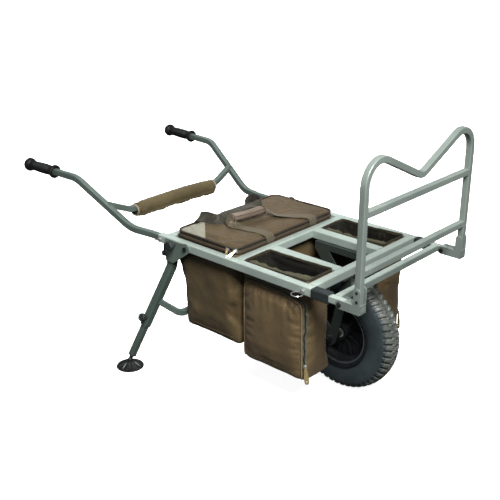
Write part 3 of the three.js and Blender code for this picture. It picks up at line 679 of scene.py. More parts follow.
def tyre():
    """The tyre with its block tread, and the rim's flanges beside it."""
    outside = tyre_profile()
    half = [(104, -25), (120, -32), (158, -34), (180, -15), (182, 0)]
    inside = np.array([*half, *[(r, -y) for r, y in half[-2::-1]]], float)
    around = LUGS * 12
    theta = np.arange(around) * math.tau / around
    radius, across = outside.T
    share = across / HALF_TREAD
    on_tread = step(radius, SHOULDER, 6)
    rings = sum(0.5 * np.exp(-((radius - r) / 1.1) ** 2) for r in MOULD_RINGS)
    height = tread(share[:, None], theta[None, :])
    drop = TREAD_DEPTH * (1 - height) * on_tread[:, None]
    crown = (radius[:, None] / TYRE_RADIUS) ** 6
    r = radius[:, None] - drop * crown - drop * 0.15
    y = across[:, None] + np.sign(across)[:, None] * (rings[:, None] - drop * 0.45)
    r = np.vstack([r, np.repeat(inside[:, :1], around, 1)])
    y = np.vstack([y, np.repeat(inside[:, 1:], around, 1)])
    low, high = node_box("tyre")
    centre = (low + high) / 2
    points = np.stack([centre[0] + r * np.sin(theta), centre[1] + y,
                       centre[2] + r * np.cos(theta)], 2)
    rows = len(r)
    index = np.arange(rows * around).reshape(rows, around)
    nxt = np.roll(index, -1, 1)
    below, below_next = np.roll(index, -1, 0), np.roll(nxt, -1, 0)
    faces = np.stack([index, nxt, below_next, below], 2).reshape(-1, 4)
    made = piece("tyre_finish", points.reshape(-1, 3), faces.tolist(), TYRE, "wheel", 38,
                 materials=[DUSTY_LIT_TREAD], replaces=["tyre"], slot="tyre")
    fix_normals(made)
    # The tread's faces take the lighter rubber: more dust, and a painted highlight on the blocks.
    repaint(made, 1, lambda place, normal: math.hypot(
        place[0] - centre[0], place[2] - centre[2]) > TREAD_EDGE)
    for side, sign in SIDES.items():
        turn = np.arange(96) * math.tau / 96
        loop = np.stack([centre[0] + FLANGE_RADIUS * np.sin(turn),
                         centre[1] + sign * 37.2 + 0 * turn,
                         centre[2] + FLANGE_RADIUS * np.cos(turn)], 1)
        # Painted highlight: the flange rings are the rim's plastic made lighter grey.
        piping(f"rim_flange_{side}", loop, 3.6, "wheel", LIT_FLANGE, True, slot="rim_plastic")


def fix_normals(made):
    """Turns every face of a closed piece outward."""
    work = bmesh.new()
    work.from_mesh(made.data)
    bmesh.ops.recalc_face_normals(work, faces=work.faces)
    work.to_mesh(made.data)
    work.free()


# ---- grips and feet

GRIP_LENGTH = 150
GRIP_SIDES = 40
FOOT_SIDES, FOOT_RIBS, FOOT_GROOVE = 96, 12, 3.2


def grip(side):
    """A ribbed grip: collar, bulged body with rings, end knob."""
    sign = SIDES[side]
    axis = unit([-252, sign * 14, 2.0])
    tip = np.array([-640, sign * 340.8, 129.1])
    mouth = tip - axis * (GRIP_LENGTH + 6)
    profile = [(14.3, 1), (21, 0), (23, 1), (24, 4), (23.8, 7), (22, 10.5), (18.6, 14), (17.2, 18)]
    for i in range(92):
        along = 20 + i
        body = 17 + 1.5 * math.sin(math.pi * i / 91)
        rib = 0.75 * (1 if (i % 8) < 4 else 0)
        profile.append((body - 0.75 + rib, along))
    profile += [(17.2, 116), (17.6, 126), (20.4, 130), (23, 134), (24, 139), (23.2, 145),
                (20.5, 150), (14, 154), (6, 155.8), (0.5, 156)]
    points, faces = lathe(profile, GRIP_SIDES, mouth, axis)
    made = piece(f"grip_{side}_finish", points, faces[:-2] + faces[-1:], GRIP, "handles", 32,
                 replaces=[f"grip_{side}"], slot="grip_rubber")
    fix_normals(made)


def foot(side):
    """A foot: a fan-ribbed cone on a round sole, with a ball on top."""
    low, high = node_box(f"foot_{side}")
    centre = (low + high) / 2
    outline = [(0.5, 0), (44, 0), (45.6, 0.8), (46, 2.2), (45.2, 3.6), (38, 6.8), (31, 10.6),
               (24, 14.6), (18.5, 17.6), (15, 19.2), (11, 20.2), (8.2, 21), (7.6, 22.4),
               (8, 25), (7.4, 28), (5.7, 30.7), (3, 32.4), (0.4, 33)]
    points = []
    for r, z in outline:
        for k in range(FOOT_SIDES):
            angle = math.tau * k / FOOT_SIDES
            fan = max(0, math.cos(FOOT_RIBS * angle)) ** 0.7
            blend = max(0, min(1, (r - 12) / 8)) * max(0, min(1, (45 - r) / 5)) * (z > 3)
            points.append((centre[0] + r * math.cos(angle), centre[1] + r * math.sin(angle),
                           low[2] + z - FOOT_GROOVE * (1 - fan) * blend))
    faces = tube_faces(len(outline), FOOT_SIDES)
    piece(f"foot_{side}_finish", points, faces, FOOT, f"foot_{side}", 35,
          replaces=[f"foot_{side}"], slot="black_plastic")


# ---- cloth


CLOTH_FRAMES = 20


def block(rings):
    """A closed form through a stack of rings of equally many points, lowest first."""
    return np.vstack(rings), tube_faces(len(rings), len(rings[0]))


def ring(x0, x1, y0, y1, radius, z):
    """A rounded rectangle at a height."""
    return [(x, y, z) for x, y in rounded(x0, x1, y0, y1, radius)]


def mesh_parts(mesh):
    """A mesh's points, in deck millimetres, and its faces."""
    points = np.empty(len(mesh.vertices) * 3)
    mesh.vertices.foreach_get("co", points)
    return millimetres(points.reshape(-1, 3)), [tuple(p.vertices) for p in mesh.polygons]


def limited(start, end, limit):
    """end, with no point further than the limit from where it started."""
    move = end - start
    length = np.linalg.norm(move, axis=1)[:, None]
    return start + move * np.minimum(1, limit / np.maximum(length, 1e-9))


def inflated(name, form, voxel, pinned, limit, pressure, growth):
    """A closed form remeshed and blown up as cloth that is held wherever pinned(points) is 1."""
    scene = bpy.context.scene
    mesh = bpy.data.meshes.new(name)
    mesh.from_pydata([tuple(p) for p in at(form[0])], [], form[1])
    made = placed(name, mesh)
    modifier(made, "REMESH", mode="VOXEL", voxel_size=voxel * MM)
    made.data = bpy.data.meshes.new_from_object(made.evaluated_get(
        bpy.context.evaluated_depsgraph_get()))
    made.modifiers.clear()
    start, faces = mesh_parts(made.data)
    end = start
    group = made.vertex_groups.new(name="held")
    weights = pinned(start)
    for index in np.flatnonzero(weights > 0.01):
        group.add([int(index)], float(weights[index]), "REPLACE")
    cloth = made.modifiers.new("cloth", "CLOTH")
    settings = cloth.settings
    settings.quality = 5
    settings.mass = 0.3
    settings.tension_stiffness = settings.compression_stiffness = 15
    settings.shear_stiffness = 5
    settings.bending_stiffness = 0.4
    settings.use_pressure = True
    settings.uniform_pressure_force = pressure
    settings.shrink_min = -growth
    settings.effector_weights.gravity = 0
    settings.vertex_group_mass = "held"
    cloth.collision_settings.use_collision = False
    cloth.point_cache.frame_start = 1
    cloth.point_cache.frame_end = CLOTH_FRAMES
    for number in range(1, CLOTH_FRAMES + 1):
        scene.frame_set(number)
    result = made.evaluated_get(bpy.context.evaluated_depsgraph_get()).to_mesh()
    end, _ = mesh_parts(result)
    scene.frame_set(1)
    bpy.data.objects.remove(made)
    return start, limited(start, end, limit), faces


def calmed(start, end, floor):
    """The blown cloth, with its ripples mostly taken out of the edges round the floor."""
    share = np.clip((start[:, 2:] - floor) / 70, 0.25, 1)
    return start + (end - start) * share


def turbulence(points, scale, seed, octaves=3):
    """Smooth noise at each point, about -1 to 1. scale is in millimetres, one number or three."""
    scale = np.broadcast_to(np.asarray(scale, float), 3)
    return np.array([noise.fractal(Vector(p / scale + seed), 0.6, 2.1, octaves) for p in points])


def creased(points, scale, seed, sharpness, octaves=3):
    """1 along thin wandering lines, falling to 0 beside them."""
    ridge = 1 - np.abs(turbulence(points, scale, np.array(seed), octaves)) * sharpness
    return np.clip(ridge, 0, 1) ** 2


def normals_of(points, faces):
    """The smooth normal at each point."""
    mesh = bpy.data.meshes.new("normals")
    mesh.from_pydata([tuple(p) for p in points], [], faces)
    result = np.empty(len(points) * 3)
    mesh.vertices.foreach_get("normal", result)
    bpy.data.meshes.remove(mesh)
    return result.reshape(-1, 3)


def lower_cap(points, faces, keep):
    """The faces whose middle passes the test, with the points that no face uses left out."""
    kept = [face for face in faces if keep(points[list(face)].mean(0))]
    used = sorted({v for face in kept for v in face})
    index = {v: i for i, v in enumerate(used)}
    return points[used], [tuple(index[v] for v in face) for face in kept]


class Surface:
    """A mesh to lay seams, zips and straps on, in deck millimetres."""

    def __init__(self, points, faces):
        self.tree = BVHTree.FromPolygons([Vector(p) for p in points], faces)

    def drop(self, point, direction):
        """Where a ray meets the surface, or the nearest place on it, with its normal there."""
        hit, normal, _, _ = self.tree.ray_cast(Vector(point), Vector(direction))
        if hit is None:
            hit, normal, _, _ = self.tree.find_nearest(Vector(point))
        return np.array(hit), np.array(normal)

    def near(self, point):
        hit, normal, _, _ = self.tree.find_nearest(Vector(point))
        return np.array(hit), np.array(normal)

    def lay(self, path, lift, direction=None):
        """A path laid on the surface, lifted along its normals, and those normals, smoothed."""
        found = [self.near(p) if direction is None else self.drop(p, direction) for p in path]
        normals = np.array([n for _, n in found])
        for _ in range(3):
            normals[1:-1] = normals[:-2] + 2 * normals[1:-1] + normals[2:]
            normals = unit(normals)
        places = np.array([p for p, _ in found])
        for _ in range(4):
            places[1:-1] = (places[:-2] + 2 * places[1:-1] + places[2:]) / 4
        return places + normals * lift, normals


# ---- trimmings


def piping(name, path, radius, body, material=PIPING, closed=False, slot=None):
    """A round cord along a path."""
    piece(name, *sweep(path, circle(radius, 10), closed=closed), material, body, slot=slot)


def stitches(name, path, normals, body, material, pitch, length, radius, slant=0.0):
    """A row of short threads along a path."""
    path, normals = np.asarray(path), np.asarray(normals)
    total = np.linalg.norm(np.diff(path, axis=0), axis=1).sum()
    count = max(2, int(total / pitch))
    fine = even(np.hstack([path, normals]), count * 2 + 1)
    parts = []
    for i in range(0, count * 2, 2):
        place, up = fine[i, :3], fine[i, 3:]
        ahead = unit(fine[i + 1, :3] - place)
        up = upright(up, ahead)
        across = np.cross(up, ahead)
        run = ahead * math.cos(slant) + across * math.sin(slant)
        line = [place + run * length * t + up * (radius * 1.3 * math.sin(math.pi * (t + 0.5)) - 0.2)
                for t in (-0.5, -0.3, 0, 0.3, 0.5)]
        parts.append(sweep(line, circle(radius, 5)))
    piece(name, *joined(*parts), material, body)


def zip_fastener(name, path, normals, body, width, closed=False, surface=None):
    """A zip: its tape, pressed to a surface, and two rows of teeth that meet in the middle."""
    points, faces = sweep(path, flat(1.2, width, 9), normals, closed)
    if surface:
        lifts = np.tile(flat(1.2, width, 9)[:, 0] + 0.6, len(path))
        for index, point in enumerate(points):
            hit, out = surface.near(point)
            points[index] = hit + out * lifts[index]
    piece(f"{name}_tape", points, faces, TAPE, body, slot="black_plastic")
    path, normals = np.asarray(path), np.asarray(normals)
    if closed:
        path, normals = np.vstack([path, path[:1]]), np.vstack([normals, normals[:1]])
    total = np.linalg.norm(np.diff(path, axis=0), axis=1).sum()
    fine = even(np.hstack([path, normals]), int(total / 1.3))
    ahead = unit(np.gradient(fine[:, :3], axis=0))
    up = upright(fine[:, 3:], ahead)
    across = np.cross(up, ahead)
    points, faces = [], []
    cube = [(0, 1, 3, 2), (4, 6, 7, 5), (0, 4, 5, 1), (2, 3, 7, 6), (0, 2, 6, 4), (1, 5, 7, 3)]
    for i in range(len(fine)):
        side = 1 if i % 2 else -1
        base = len(points)
        for along in (-0.5, 0.5):
            for reach in (-0.7, 2.3):
                for height in (0.3, 1.7):
                    points.append(fine[i, :3] + ahead[i] * along + across[i] * reach * side
                                  + up[i] * height)
        faces += [tuple(base + v for v in face) for face in cube]
    made = piece(f"{name}_teeth", points, faces, ZIP_TEETH, body, 20, slot="black_plastic")
    fix_normals(made)


def plate(outline, holes, thickness, origin, right, up):
    """Points and faces of a flat plate with an outline and round holes, standing at a place."""
    work = bmesh.new()
    loops = [outline] + [[(x + r * math.cos(a), y + r * math.sin(a)) for a in
                          np.arange(14) * math.tau / 14] for x, y, r in holes]
    edges = []
    for loop in loops:
        verts = [work.verts.new((x, y, 0)) for x, y in loop]
        edges += [work.edges.new((verts[i], verts[(i + 1) % len(verts)]))
                  for i in range(len(verts))]
    bmesh.ops.triangle_fill(work, edges=edges, use_beauty=True)
    bmesh.ops.recalc_face_normals(work, faces=work.faces)
    grown = bmesh.ops.extrude_face_region(work, geom=list(work.faces))
    for vert in grown["geom"]:
        if isinstance(vert, bmesh.types.BMVert):
            vert.co.z += thickness
    bmesh.ops.recalc_face_normals(work, faces=work.faces)
    work.verts.index_update()
    right = unit(right)
    up = upright(up, right)
    out = np.cross(right, up)
    points = np.array([np.asarray(origin) + right * v.co.x + up * v.co.y
                       + out * (v.co.z - thickness / 2) for v in work.verts])
    faces = [tuple(v.index for v in f.verts) for f in work.faces]
    work.free()
    return points, faces


def oval(points, count=40):
    """A smooth closed outline in its plane."""
    return [tuple(p) for p in smooth_path(np.array(points, float), count, closed=True)]


def slider(name, place, ahead, up, body, hang, face, pull_material, length=34.0, width=9.0):
    """A zip slider with its bridge, and a pull that hangs from it."""
    ahead = unit(ahead)
    up = upright(up, ahead)
    across = np.cross(up, ahead)
    body_outline = oval([(-5.5, -3.4), (0, -4.8), (5.5, -5.4), (6.4, 0), (5.5, 5.4), (0, 4.8),
                         (-5.5, 3.4), (-6.4, 0)], 32)
    shell = plate(body_outline, [], 4.2, place + up * 1.6, ahead, across)
    bridge = sweep([place + ahead * t + up * h for t, h in
                    ((-4.2, 3.2), (-3.4, 5.4), (0, 6.4), (3.4, 5.4), (4.2, 3.2))],
                   flat(1.2, 3.0, 3), [up] * 5)
    made = piece(f"{name}_slider", *joined(shell, bridge), ZINC, body, slot="zinc")
    bevelled(made, 0.5)
    hang = unit(hang)
    side = np.cross(hang, face)
    top = place + up * 5.0
    tab = oval([(-2.6, 2), (-3.2, -6), (-width * 0.42, -length * 0.45), (-width / 2, -length * 0.8),
                (-width * 0.3, -length), (width * 0.3, -length), (width / 2, -length * 0.8),
                (width * 0.42, -length * 0.45), (3.2, -6), (2.6, 2), (0, 3.4)], 56)
    holes = [(0, 0, 1.6), (0, -length * 0.84, 1.9)]
    made = piece(f"{name}_pull", *plate(tab, holes, 1.6, top, side, -hang), pull_material, body,
                 35, slot="zinc")
    bevelled(made, 0.35)


def strap(name, line, material, count=70, narrow=None):
    """A strap through (point, normal) stations. narrow gives its width's share along it."""
    stations = np.array([[*p, *n] for p, n in line], float)
    fine = smooth_path(stations, count)
    section = flat(CLOTH, STRAP_WIDTH, 8)
    points, faces = sweep(fine[:, :3], section, fine[:, 3:])
    if narrow:
        shares = np.interp(np.linspace(0, 1, count), *zip(*narrow))
        points = points.reshape(count, len(section), 3)
        middle = points.mean(1, keepdims=True)
        points = (middle + (points - middle) * shares[:, None, None]).reshape(-1, 3)
    smoothed(piece(name, points, faces, material, "bag_lid", 50))


# ---- side pouches

POUCH_REAR, POUCH_FRONT = 332.5, 580.5
POUCH_INNER, POUCH_THROAT, POUCH_OUTER = 129.5, 250.0, 256.0
POUCH_FLOOR = -322.0
CLOTH = 2.4
# A distance from the middle plane that is outside every bag, for dropping seams onto one.
BEYOND = 330.0

# The pouch's front pocket, as (x, z) on its outer face: the piping round it, and the zip outside.
POCKET = [(340, -321), (335, -300), (334, -200), (333, -112), (335, -88), (343, -73), (360, -67),
          (435, -64), (500, -68), (541, -75), (555, -82), (562, -97), (564, -160), (566, -240),
          (568, -300), (567, -322)]
POCKET_MIDDLE = np.array([450, -200])
POCKET_ZIP = [(346, -55), (390, -52), (435, -51), (500, -55), (541, -61), (560, -66), (574, -76),
              (580, -98), (582, -140), (583, -200), (584, -240), (584.5, -278)]


def rim_height(x):
    """How far the mouth's edge stands above the deck along the pouch."""
    return -1.0 + 7.0 * step(x, 520, 240)


def pouch_form(inner, outer_at):
    """The pouch's closed form. outer_at gives how far out it reaches at a height."""
    levels = [(POUCH_FLOOR, 9, 4), (POUCH_FLOOR + 3, 9, 1.5), (POUCH_FLOOR + 9, 8, 0.3),
              (POUCH_FLOOR + 20, 8, 0), (-260, 8, 0), (-200, 8, 0), (-140, 8, 0), (-90, 8, 0),
              (-66, 8, 0), (-56, 8, 0), (-46, 8, 0), (-34, 8, 0), (-18, 8, 0), (0, 8, 0)]
    return block([ring(POUCH_REAR + inset, POUCH_FRONT - inset, inner + inset,
                       outer_at(z) - inset, radius, z) for z, radius, inset in levels])


def within(outline, across, up):
    """Which points lie inside a closed outline."""
    inside = np.zeros(len(across), bool)
    for (x0, z0), (x1, z1) in zip(outline, np.roll(outline, -1, 0)):
        crosses = (z0 > up) != (z1 > up)
        inside ^= crosses & (across < (x1 - x0) * (up - z0) / (z1 - z0 + 1e-9) + x0)
    return inside


def puckers(seed):
    """Short creases that run in from the pocket's piping: (x, z, direction, length, depth)."""
    found = []
    for k, x in enumerate(np.linspace(352, 548, 12)):
        jitter = noise.noise(Vector((k * 3.7, seed, 1.3)))
        depth = 1.2 + 3.2 * abs(noise.noise(Vector((k * 2.3, seed, 7.1))))
        found.append((x + 7 * jitter, -67 - 0.0006 * (x - 450) ** 2, (0.32 * jitter + 0.1, -1),
                      26 + 70 * abs(noise.noise(Vector((k * 5.1, seed, 4.4)))) * 2, depth))
    for k, z in enumerate(np.linspace(-105, -285, 8)):
        jitter = noise.noise(Vector((k * 4.3, seed, 9.3)))
        found.append((566, z + 9 * jitter, (-1, 0.35 * jitter - 0.25), 18 + 20 * abs(jitter), 1.1))
    return found


def pouch(side):
    """An open side pouch with a zipped front pocket."""
    sign = SIDES[side]
    seed = np.array([3.1, 7.7, 1.9]) * (2 + sign)

    def reach(z):
        return POUCH_THROAT + (POUCH_OUTER - 3 - POUCH_THROAT) * step(-z, 48, 24)

    outline = smooth_path(np.array(POCKET, float), 220)

    def from_piping(x, z):
        return np.min(np.hypot(x[:, None] - outline[:, 0], z[:, None] - outline[:, 1]), 1)

    def held(points):
        x, y, z = points.T
        weight = np.where((np.abs(y) > POUCH_OUTER - 8) & (from_piping(x, z) < 5), 0.9, 0)
        weight[z > -26] = 1
        return weight

    start, points, faces = inflated(f"pouch_{side}_cloth", pouch_form(POUCH_INNER, reach), 5.5,
                                    held, 9.0, 3.0, 0.02)
    x, y, z = points.T
    points = calmed(start, points, POUCH_FLOOR)
    outward = normals_of(points, faces)
    # The pocket swells out of its seam, with puckers along it and slack folds lower down.
    face = np.clip((y - (POUCH_OUTER - 14)) / 8, 0, 1)
    gap = from_piping(x, z)
    inside = within(outline, x, z)
    swell = np.where(inside, 4.0 - 7.5 * np.exp(-gap / 15), -3.5 + 2.0 * np.clip(gap / 30, 0, 1))
    tucks = np.zeros(len(x))
    for cx, cz, run, length, depth in puckers(seed[0]):
        run = unit(run)
        along = (x - cx) * run[0] + (z - cz) * run[1]
        beside = (x - cx) * run[1] - (z - cz) * run[0] + 2.5 * np.sin(along / 17 + cx)
        wide = 3.6 + along.clip(0, 100) / 14
        fade = np.clip(along / 5, 0, 1) * np.exp(-(along / length).clip(0) ** 2)
        tucks += fade * depth * (0.8 * np.exp(-((beside - wide * 1.5) / wide) ** 2)
                                 - np.exp(-(beside / wide) ** 2))
    folds = turbulence(points, (90, 90, 170), seed, 2)
    creases = creased(points, (90, 90, 150), seed + 4.3, 3.2, 2)
    swell = swell - 5.5 * inside * np.exp((z + 66) / 42)
    slack = 1.1 * (1 - np.exp(-gap / 22) * face) * np.clip((z - POUCH_FLOOR) / 60, 0, 1)
    move = face * (swell + tucks * inside) * np.clip((-z - 48) / 14, 0, 1) \
        + slack * (3.4 * folds - 0.9 * creases)
    points = points + outward * move[:, None]
    across = np.sin(np.clip((x - POUCH_REAR) / (POUCH_FRONT - POUCH_REAR), 0, 1) * math.pi)
    over = np.sin(np.clip((y - POUCH_INNER) / (POUCH_OUTER - POUCH_INNER), 0, 1) * math.pi)
    points[:, 2] -= (6 + 7 * across) * (0.55 + 0.45 * over) * np.clip((-z - 170) / 150, 0, 1) ** 2
    # The pouch bulges to the rear behind the pocket's lower corner.
    points[:, 0] -= 7 * np.clip((-z - 210) / 70, 0, 1) * np.clip((380 - x) / 60, 0, 1) \
        * np.clip((250 - y) / 30, 0, 1)
    throat = np.clip((z + 40) / 40, 0, 1)
    points[:, 2] += (rim_height(x) + 1.2 * turbulence(points, 45, seed)) * throat
    waist = np.clip(1 - np.abs(z + 14) / 16, 0, 1)
    points[:, 1] += 3.0 * waist * turbulence(points, (60, 90, 60), seed + 2) - 0.6 * throat
    points, faces = lower_cap(points, faces, lambda m: m[2] < -4 + rim_height(m[0]) or not (
        POUCH_REAR + 9 < m[0] < POUCH_FRONT - 9 and POUCH_INNER + 9 < m[1] < POUCH_THROAT - 9))
    points, faces = lower_cap(points, faces, lambda m: m[2] < rim_height(m[0]) - 3.5)
    if sign < 0:
        points = points * (1, -1, 1)
        faces = [face[::-1] for face in faces]
    made = piece(f"pouch_{side}_shell", points, faces, LIT_POUCH_CLOTH, "deck", 60,
                 materials=[LINING_AND_SHADE, PAINTED_SHADE], replaces=[f"pouch_{side}"])
    # Painted shade: the inner wall, which faces the wheel, gets the nearly black cloth.
    repaint(made, 2, lambda place, normal: abs(place[1]) < POUCH_INNER + 7)
    lined(made)
    pouch_trim(side, sign, Surface(points, faces), seed)


def pouch_trim(side, sign, surface, seed):
    """The pouch's piping, stitches, zip, bound mouth and loose lining."""
    name = f"pouch_{side}"
    away = (0, -sign, 0)

    def on_face(outline, count):
        return [(x, sign * BEYOND, z) for x, z in smooth_path(outline, count)]

    path, normals = surface.lay(on_face(POCKET, 150), 1.5, away)
    piping(f"{name}_piping", path, 2.3, "deck")
    inner = np.array(POCKET, float)
    inner = POCKET_MIDDLE + (inner - POCKET_MIDDLE) * (0.955, 0.966)
    path, normals = surface.lay(on_face(inner[1:-1], 120), 0.25, away)
    stitches(f"{name}_topstitch", path, normals, "deck", PIPING, 4.6, 3.0, 0.4)
    outline = smooth_path(POCKET_ZIP, 120)
    path, normals = surface.lay([(x, sign * (POUCH_OUTER + 3), z) for x, z in outline], 0.7)
    zip_fastener(f"{name}_zip", path, normals, "deck", 19.0, surface=surface)
    slider(f"{name}_zip", path[-1] + (0, 0, 3), path[-1] - path[-4], normals[-1], "deck",
           (0.1, -sign * 0.05, -1), (0.5, sign, 0), BRASS, 58, 15)
    # The bound edge of the mouth, and a stitched hem inside it.
    x0, x1, y0, y1 = POUCH_REAR + 1.4, POUCH_FRONT - 1.4, POUCH_INNER + 1.2, POUCH_THROAT - 1.4
    corners = rounded(x0, x1, y0, y1, 10)
    loop = even(corners + corners[:1], 150, True)
    binding = np.array([(x, sign * y, rim_height(x) - 1.6) for x, y in loop])
    wobble = turbulence(binding, 45, seed)
    binding[:, 2] += 1.2 * wobble
    binding[:, 1] -= sign * 0.8 * turbulence(binding, 60, seed + 9)
    points, faces = sweep(binding, [(3.4, 0), (2.6, 1.9), (0, 2.6), (-4.6, 2.3), (-5.2, 0),
                                    (-4.6, -2.3), (0, -2.6), (2.6, -1.9)],
                          [(0, 0, 1)] * len(binding), True)
    piece(f"{name}_binding", points, faces, BINDING_DARK, "deck")
    # A loose lining flap along the side that faces the camera: outer on the right, inner on the
    # left.
    near = POUCH_THROAT - 4 if sign < 0 else POUCH_INNER + 4
    rows, columns = 12, 60
    grid = []
    for i in range(rows):
        v = i / (rows - 1)
        for j in range(columns):
            u = j / (columns - 1)
            x = POUCH_REAR + 6 + (POUCH_FRONT - POUCH_REAR - 12) * u
            slope = 46 + 8 * math.sin(u * 5 + seed[0])
            y = near + sign * slope * math.sin(v * math.pi * 0.55)
            z = rim_height(x) - 5 - 13 * v ** 1.5 - 34 * max(0, v - 0.8) / 0.2
            rumple = noise.fractal(Vector((x / 24, y / 22, z / 30)) + Vector(seed), 0.7, 2.2, 4)
            grid.append((x, sign * y, z + 5.5 * rumple * min(1, 4 * v) - 1.0 * v))
    flap = piece(f"{name}_flap", grid, grid_faces(rows, columns), KHAKI, "deck", 60)
    modifier(flap, "SOLIDIFY", thickness=1.0 * MM, offset=0)
    smoothed(flap)


# ---- main bag

BAG_REAR, BAG_FRONT, BAG_HALF, BAG_FLOOR = 31.5, 298.0, 247.5, -302.0


def bag_rear(z):
    """The bag's rear wall leans forward below the deck, round the leg's cross tube."""
    return BAG_REAR + 38 * step(-z, 130, 230)


def bag_front(z):
    """Its front wall bulges forward under the middle rail."""
    return BAG_FRONT + 16 * step(-z, 95, 110)


def bag():
    """The lidded bag's body, with its seams and the rolled edge that the lid zips to."""
    levels = [(BAG_FLOOR, 12, 5), (BAG_FLOOR + 3, 12, 2), (BAG_FLOOR + 10, 11, 0.5),
              (BAG_FLOOR + 22, 11, 0), (-250, 11, 0), (-208, 11, 0), (-160, 11, 0), (-120, 11, 0),
              (-90, 11, 0), (-60, 13, 0), (-36, 18, 0), (-12, 24, 0), (2, 28, 0)]
    form = block([ring(bag_rear(z) + inset, bag_front(z) - inset, -BAG_HALF + inset,
                       BAG_HALF - inset, radius, z) for z, radius, inset in levels])

    def held(points):
        weight = np.where(points[:, 2] > -24, 1.0, 0)
        tube = (points[:, 0] < bag_rear(points[:, 2]) + 8) & (points[:, 2] < -235)
        weight[tube] = 0.8
        return weight

    start, points, faces = inflated("bag_cloth_form", form, 9.0, held, 9.0, 2.5, 0.02)
    x, y, z = points.T
    points = calmed(start, points, BAG_FLOOR)
    outward = normals_of(points, faces)
    depth = np.clip((-z - 24) / 50, 0, 1) * np.clip((z - BAG_FLOOR) / 60, 0, 1)
    slanting = (x * 0.8 + z * np.sign(y)) / 48
    drape = np.sin(slanting + 1.2 * turbulence(points, (120, 160, 120), np.array([5.0, 2, 1])))
    creases = creased(points, (80, 90, 120), (1.0, 8, 4), 3)
    folds = turbulence(points, (90, 110, 130), np.array([2.2, 6.1, 3.3]))
    rear_wall = np.clip((bag_rear(z) + 12 - x) / 10, 0, 1) * (z < -225)
    points = points + outward * (depth * (1 - rear_wall) * (
        1.5 * drape - 1.2 * creases + 4.0 * folds))[:, None]
    along = np.cos(np.clip(y / BAG_HALF, -1, 1) * math.pi / 2)
    points[:, 2] -= (2 + 10 * along) * np.clip((-z - 200) / 110, 0, 1) ** 2
    points[:, 0] = np.maximum(points[:, 0], np.where(points[:, 2] < -225, 70.0, -1e3))
    points, faces = lower_cap(points, faces, lambda m: m[2] < -1.5)
    made = piece("bag_shell", points, faces, BAG, "bag", 60,
                 materials=[LINING_AND_SHADE], replaces=["bag_body"])
    lined(made)
    surface = Surface(points, faces)
    # Seams down the two rear corners and round the floor.
    for side, sign in SIDES.items():
        line = [(bag_rear(z) + 12, sign * (BAG_HALF + 30), z)
                for z in np.linspace(-14, BAG_FLOOR + 16, 60)]
        path, _ = surface.lay(line, 0.4, (0, -sign, 0))
        piping(f"bag_seam_{side}", path, 1.3, "bag", EDGE)
    edge = rounded(bag_rear(-290) + 4, bag_front(-290) - 4, -BAG_HALF + 4, BAG_HALF - 4, 30)
    loop = even(edge + edge[:1], 200, True)
    path, _ = surface.lay([(x, y, BAG_FLOOR + 18) for x, y in loop], 0.3)
    piping("bag_floor_seam", path, 1.1, "bag", BAG, closed=True)
    loop = lid_loop(0.6, 220)
    roll = np.array([(x, y, 4.2 + 0.8 * math.sin(x / 33 + y / 41)) for x, y in loop])
    piping("bag_rim_roll", roll, 3.4, "bag", EDGE, closed=True)
    piping("bag_rim_cord", roll + (0, 0, 4.6), 1.7, "bag", EDGE_LIGHT, closed=True)


# ---- lid

LID_REAR, LID_FRONT, LID_HALF, LID_CORNER = 31.0, 298.0, 247.0, 30.0


def lid_loop(inset, count):
    """The lid's outline, drawn in by an inset."""
    outline = rounded(LID_REAR + inset, LID_FRONT - inset, -LID_HALF + inset, LID_HALF - inset,
                      LID_CORNER - inset, 10)
    return even(outline + outline[:1], count, True)


def from_lid_edge(points):
    """How far each point is inside the lid's outline."""
    x, y, _ = points.T
    return np.minimum.reduce([x - LID_REAR, LID_FRONT - x, LID_HALF - np.abs(y)])


def lid():
    """The padded lid, with its piping, stitches, zip and patch."""
    levels = [(13.5, 7), (15, 4.5), (18, 3.5), (20.5, 4), (22, 8)]
    form = block([ring(LID_REAR + inset, LID_FRONT - inset, -LID_HALF + inset, LID_HALF - inset,
                       LID_CORNER - inset, z) for z, inset in levels])

    def held(points):
        return np.where((points[:, 2] < 19.5) | (from_lid_edge(points) < 8), 1.0, 0)

    _, points, faces = inflated("lid_cloth_form", form, 5.5, held, 4.5, 1.2, 0.012)
    top = np.clip((points[:, 2] - 19) / 3, 0, 1)
    edge = np.clip(from_lid_edge(points) / 26 - 0.3, 0, 1)
    folds = turbulence(points, (75, 105, 60), np.array([4.0, 1.5, 2.5]))
    creases = creased(points, (60, 85, 60), (9.0, 3.0, 1.0), 3.4)
    points[:, 2] += top * edge * (2.2 * folds - 1.8 * creases)
    made = piece("lid_panel", points, faces, LID, "bag_lid", 60,
                 materials=[LINING_AND_SHADE], replaces=["bag_lid"])
    repaint(made, 1, lambda place, normal: normal.z < -0.7)
    smoothed(made)
    surface = Surface(points, faces)
    loop = lid_loop(1.4, 260)
    roll = np.array([(x, y, 20.4 + 0.5 * math.sin(x / 40 + y / 31)) for x, y in loop])
    piping("lid_roll", roll, 3.0, "bag_lid", EDGE, closed=True)
    path = np.array([(x, y, 20.6) for x, y in lid_loop(9.0, 240)])
    path, normals = surface.lay(path + (0, 0, 20), 0.2, (0, 0, -1))
    stitches("lid_topstitch", np.vstack([path, path[:1]]), np.vstack([normals, normals[:1]]),
             "bag_lid", EDGE, 4.6, 3.1, 0.4)
    lid_zip()
    lid_patch(surface)
    return surface


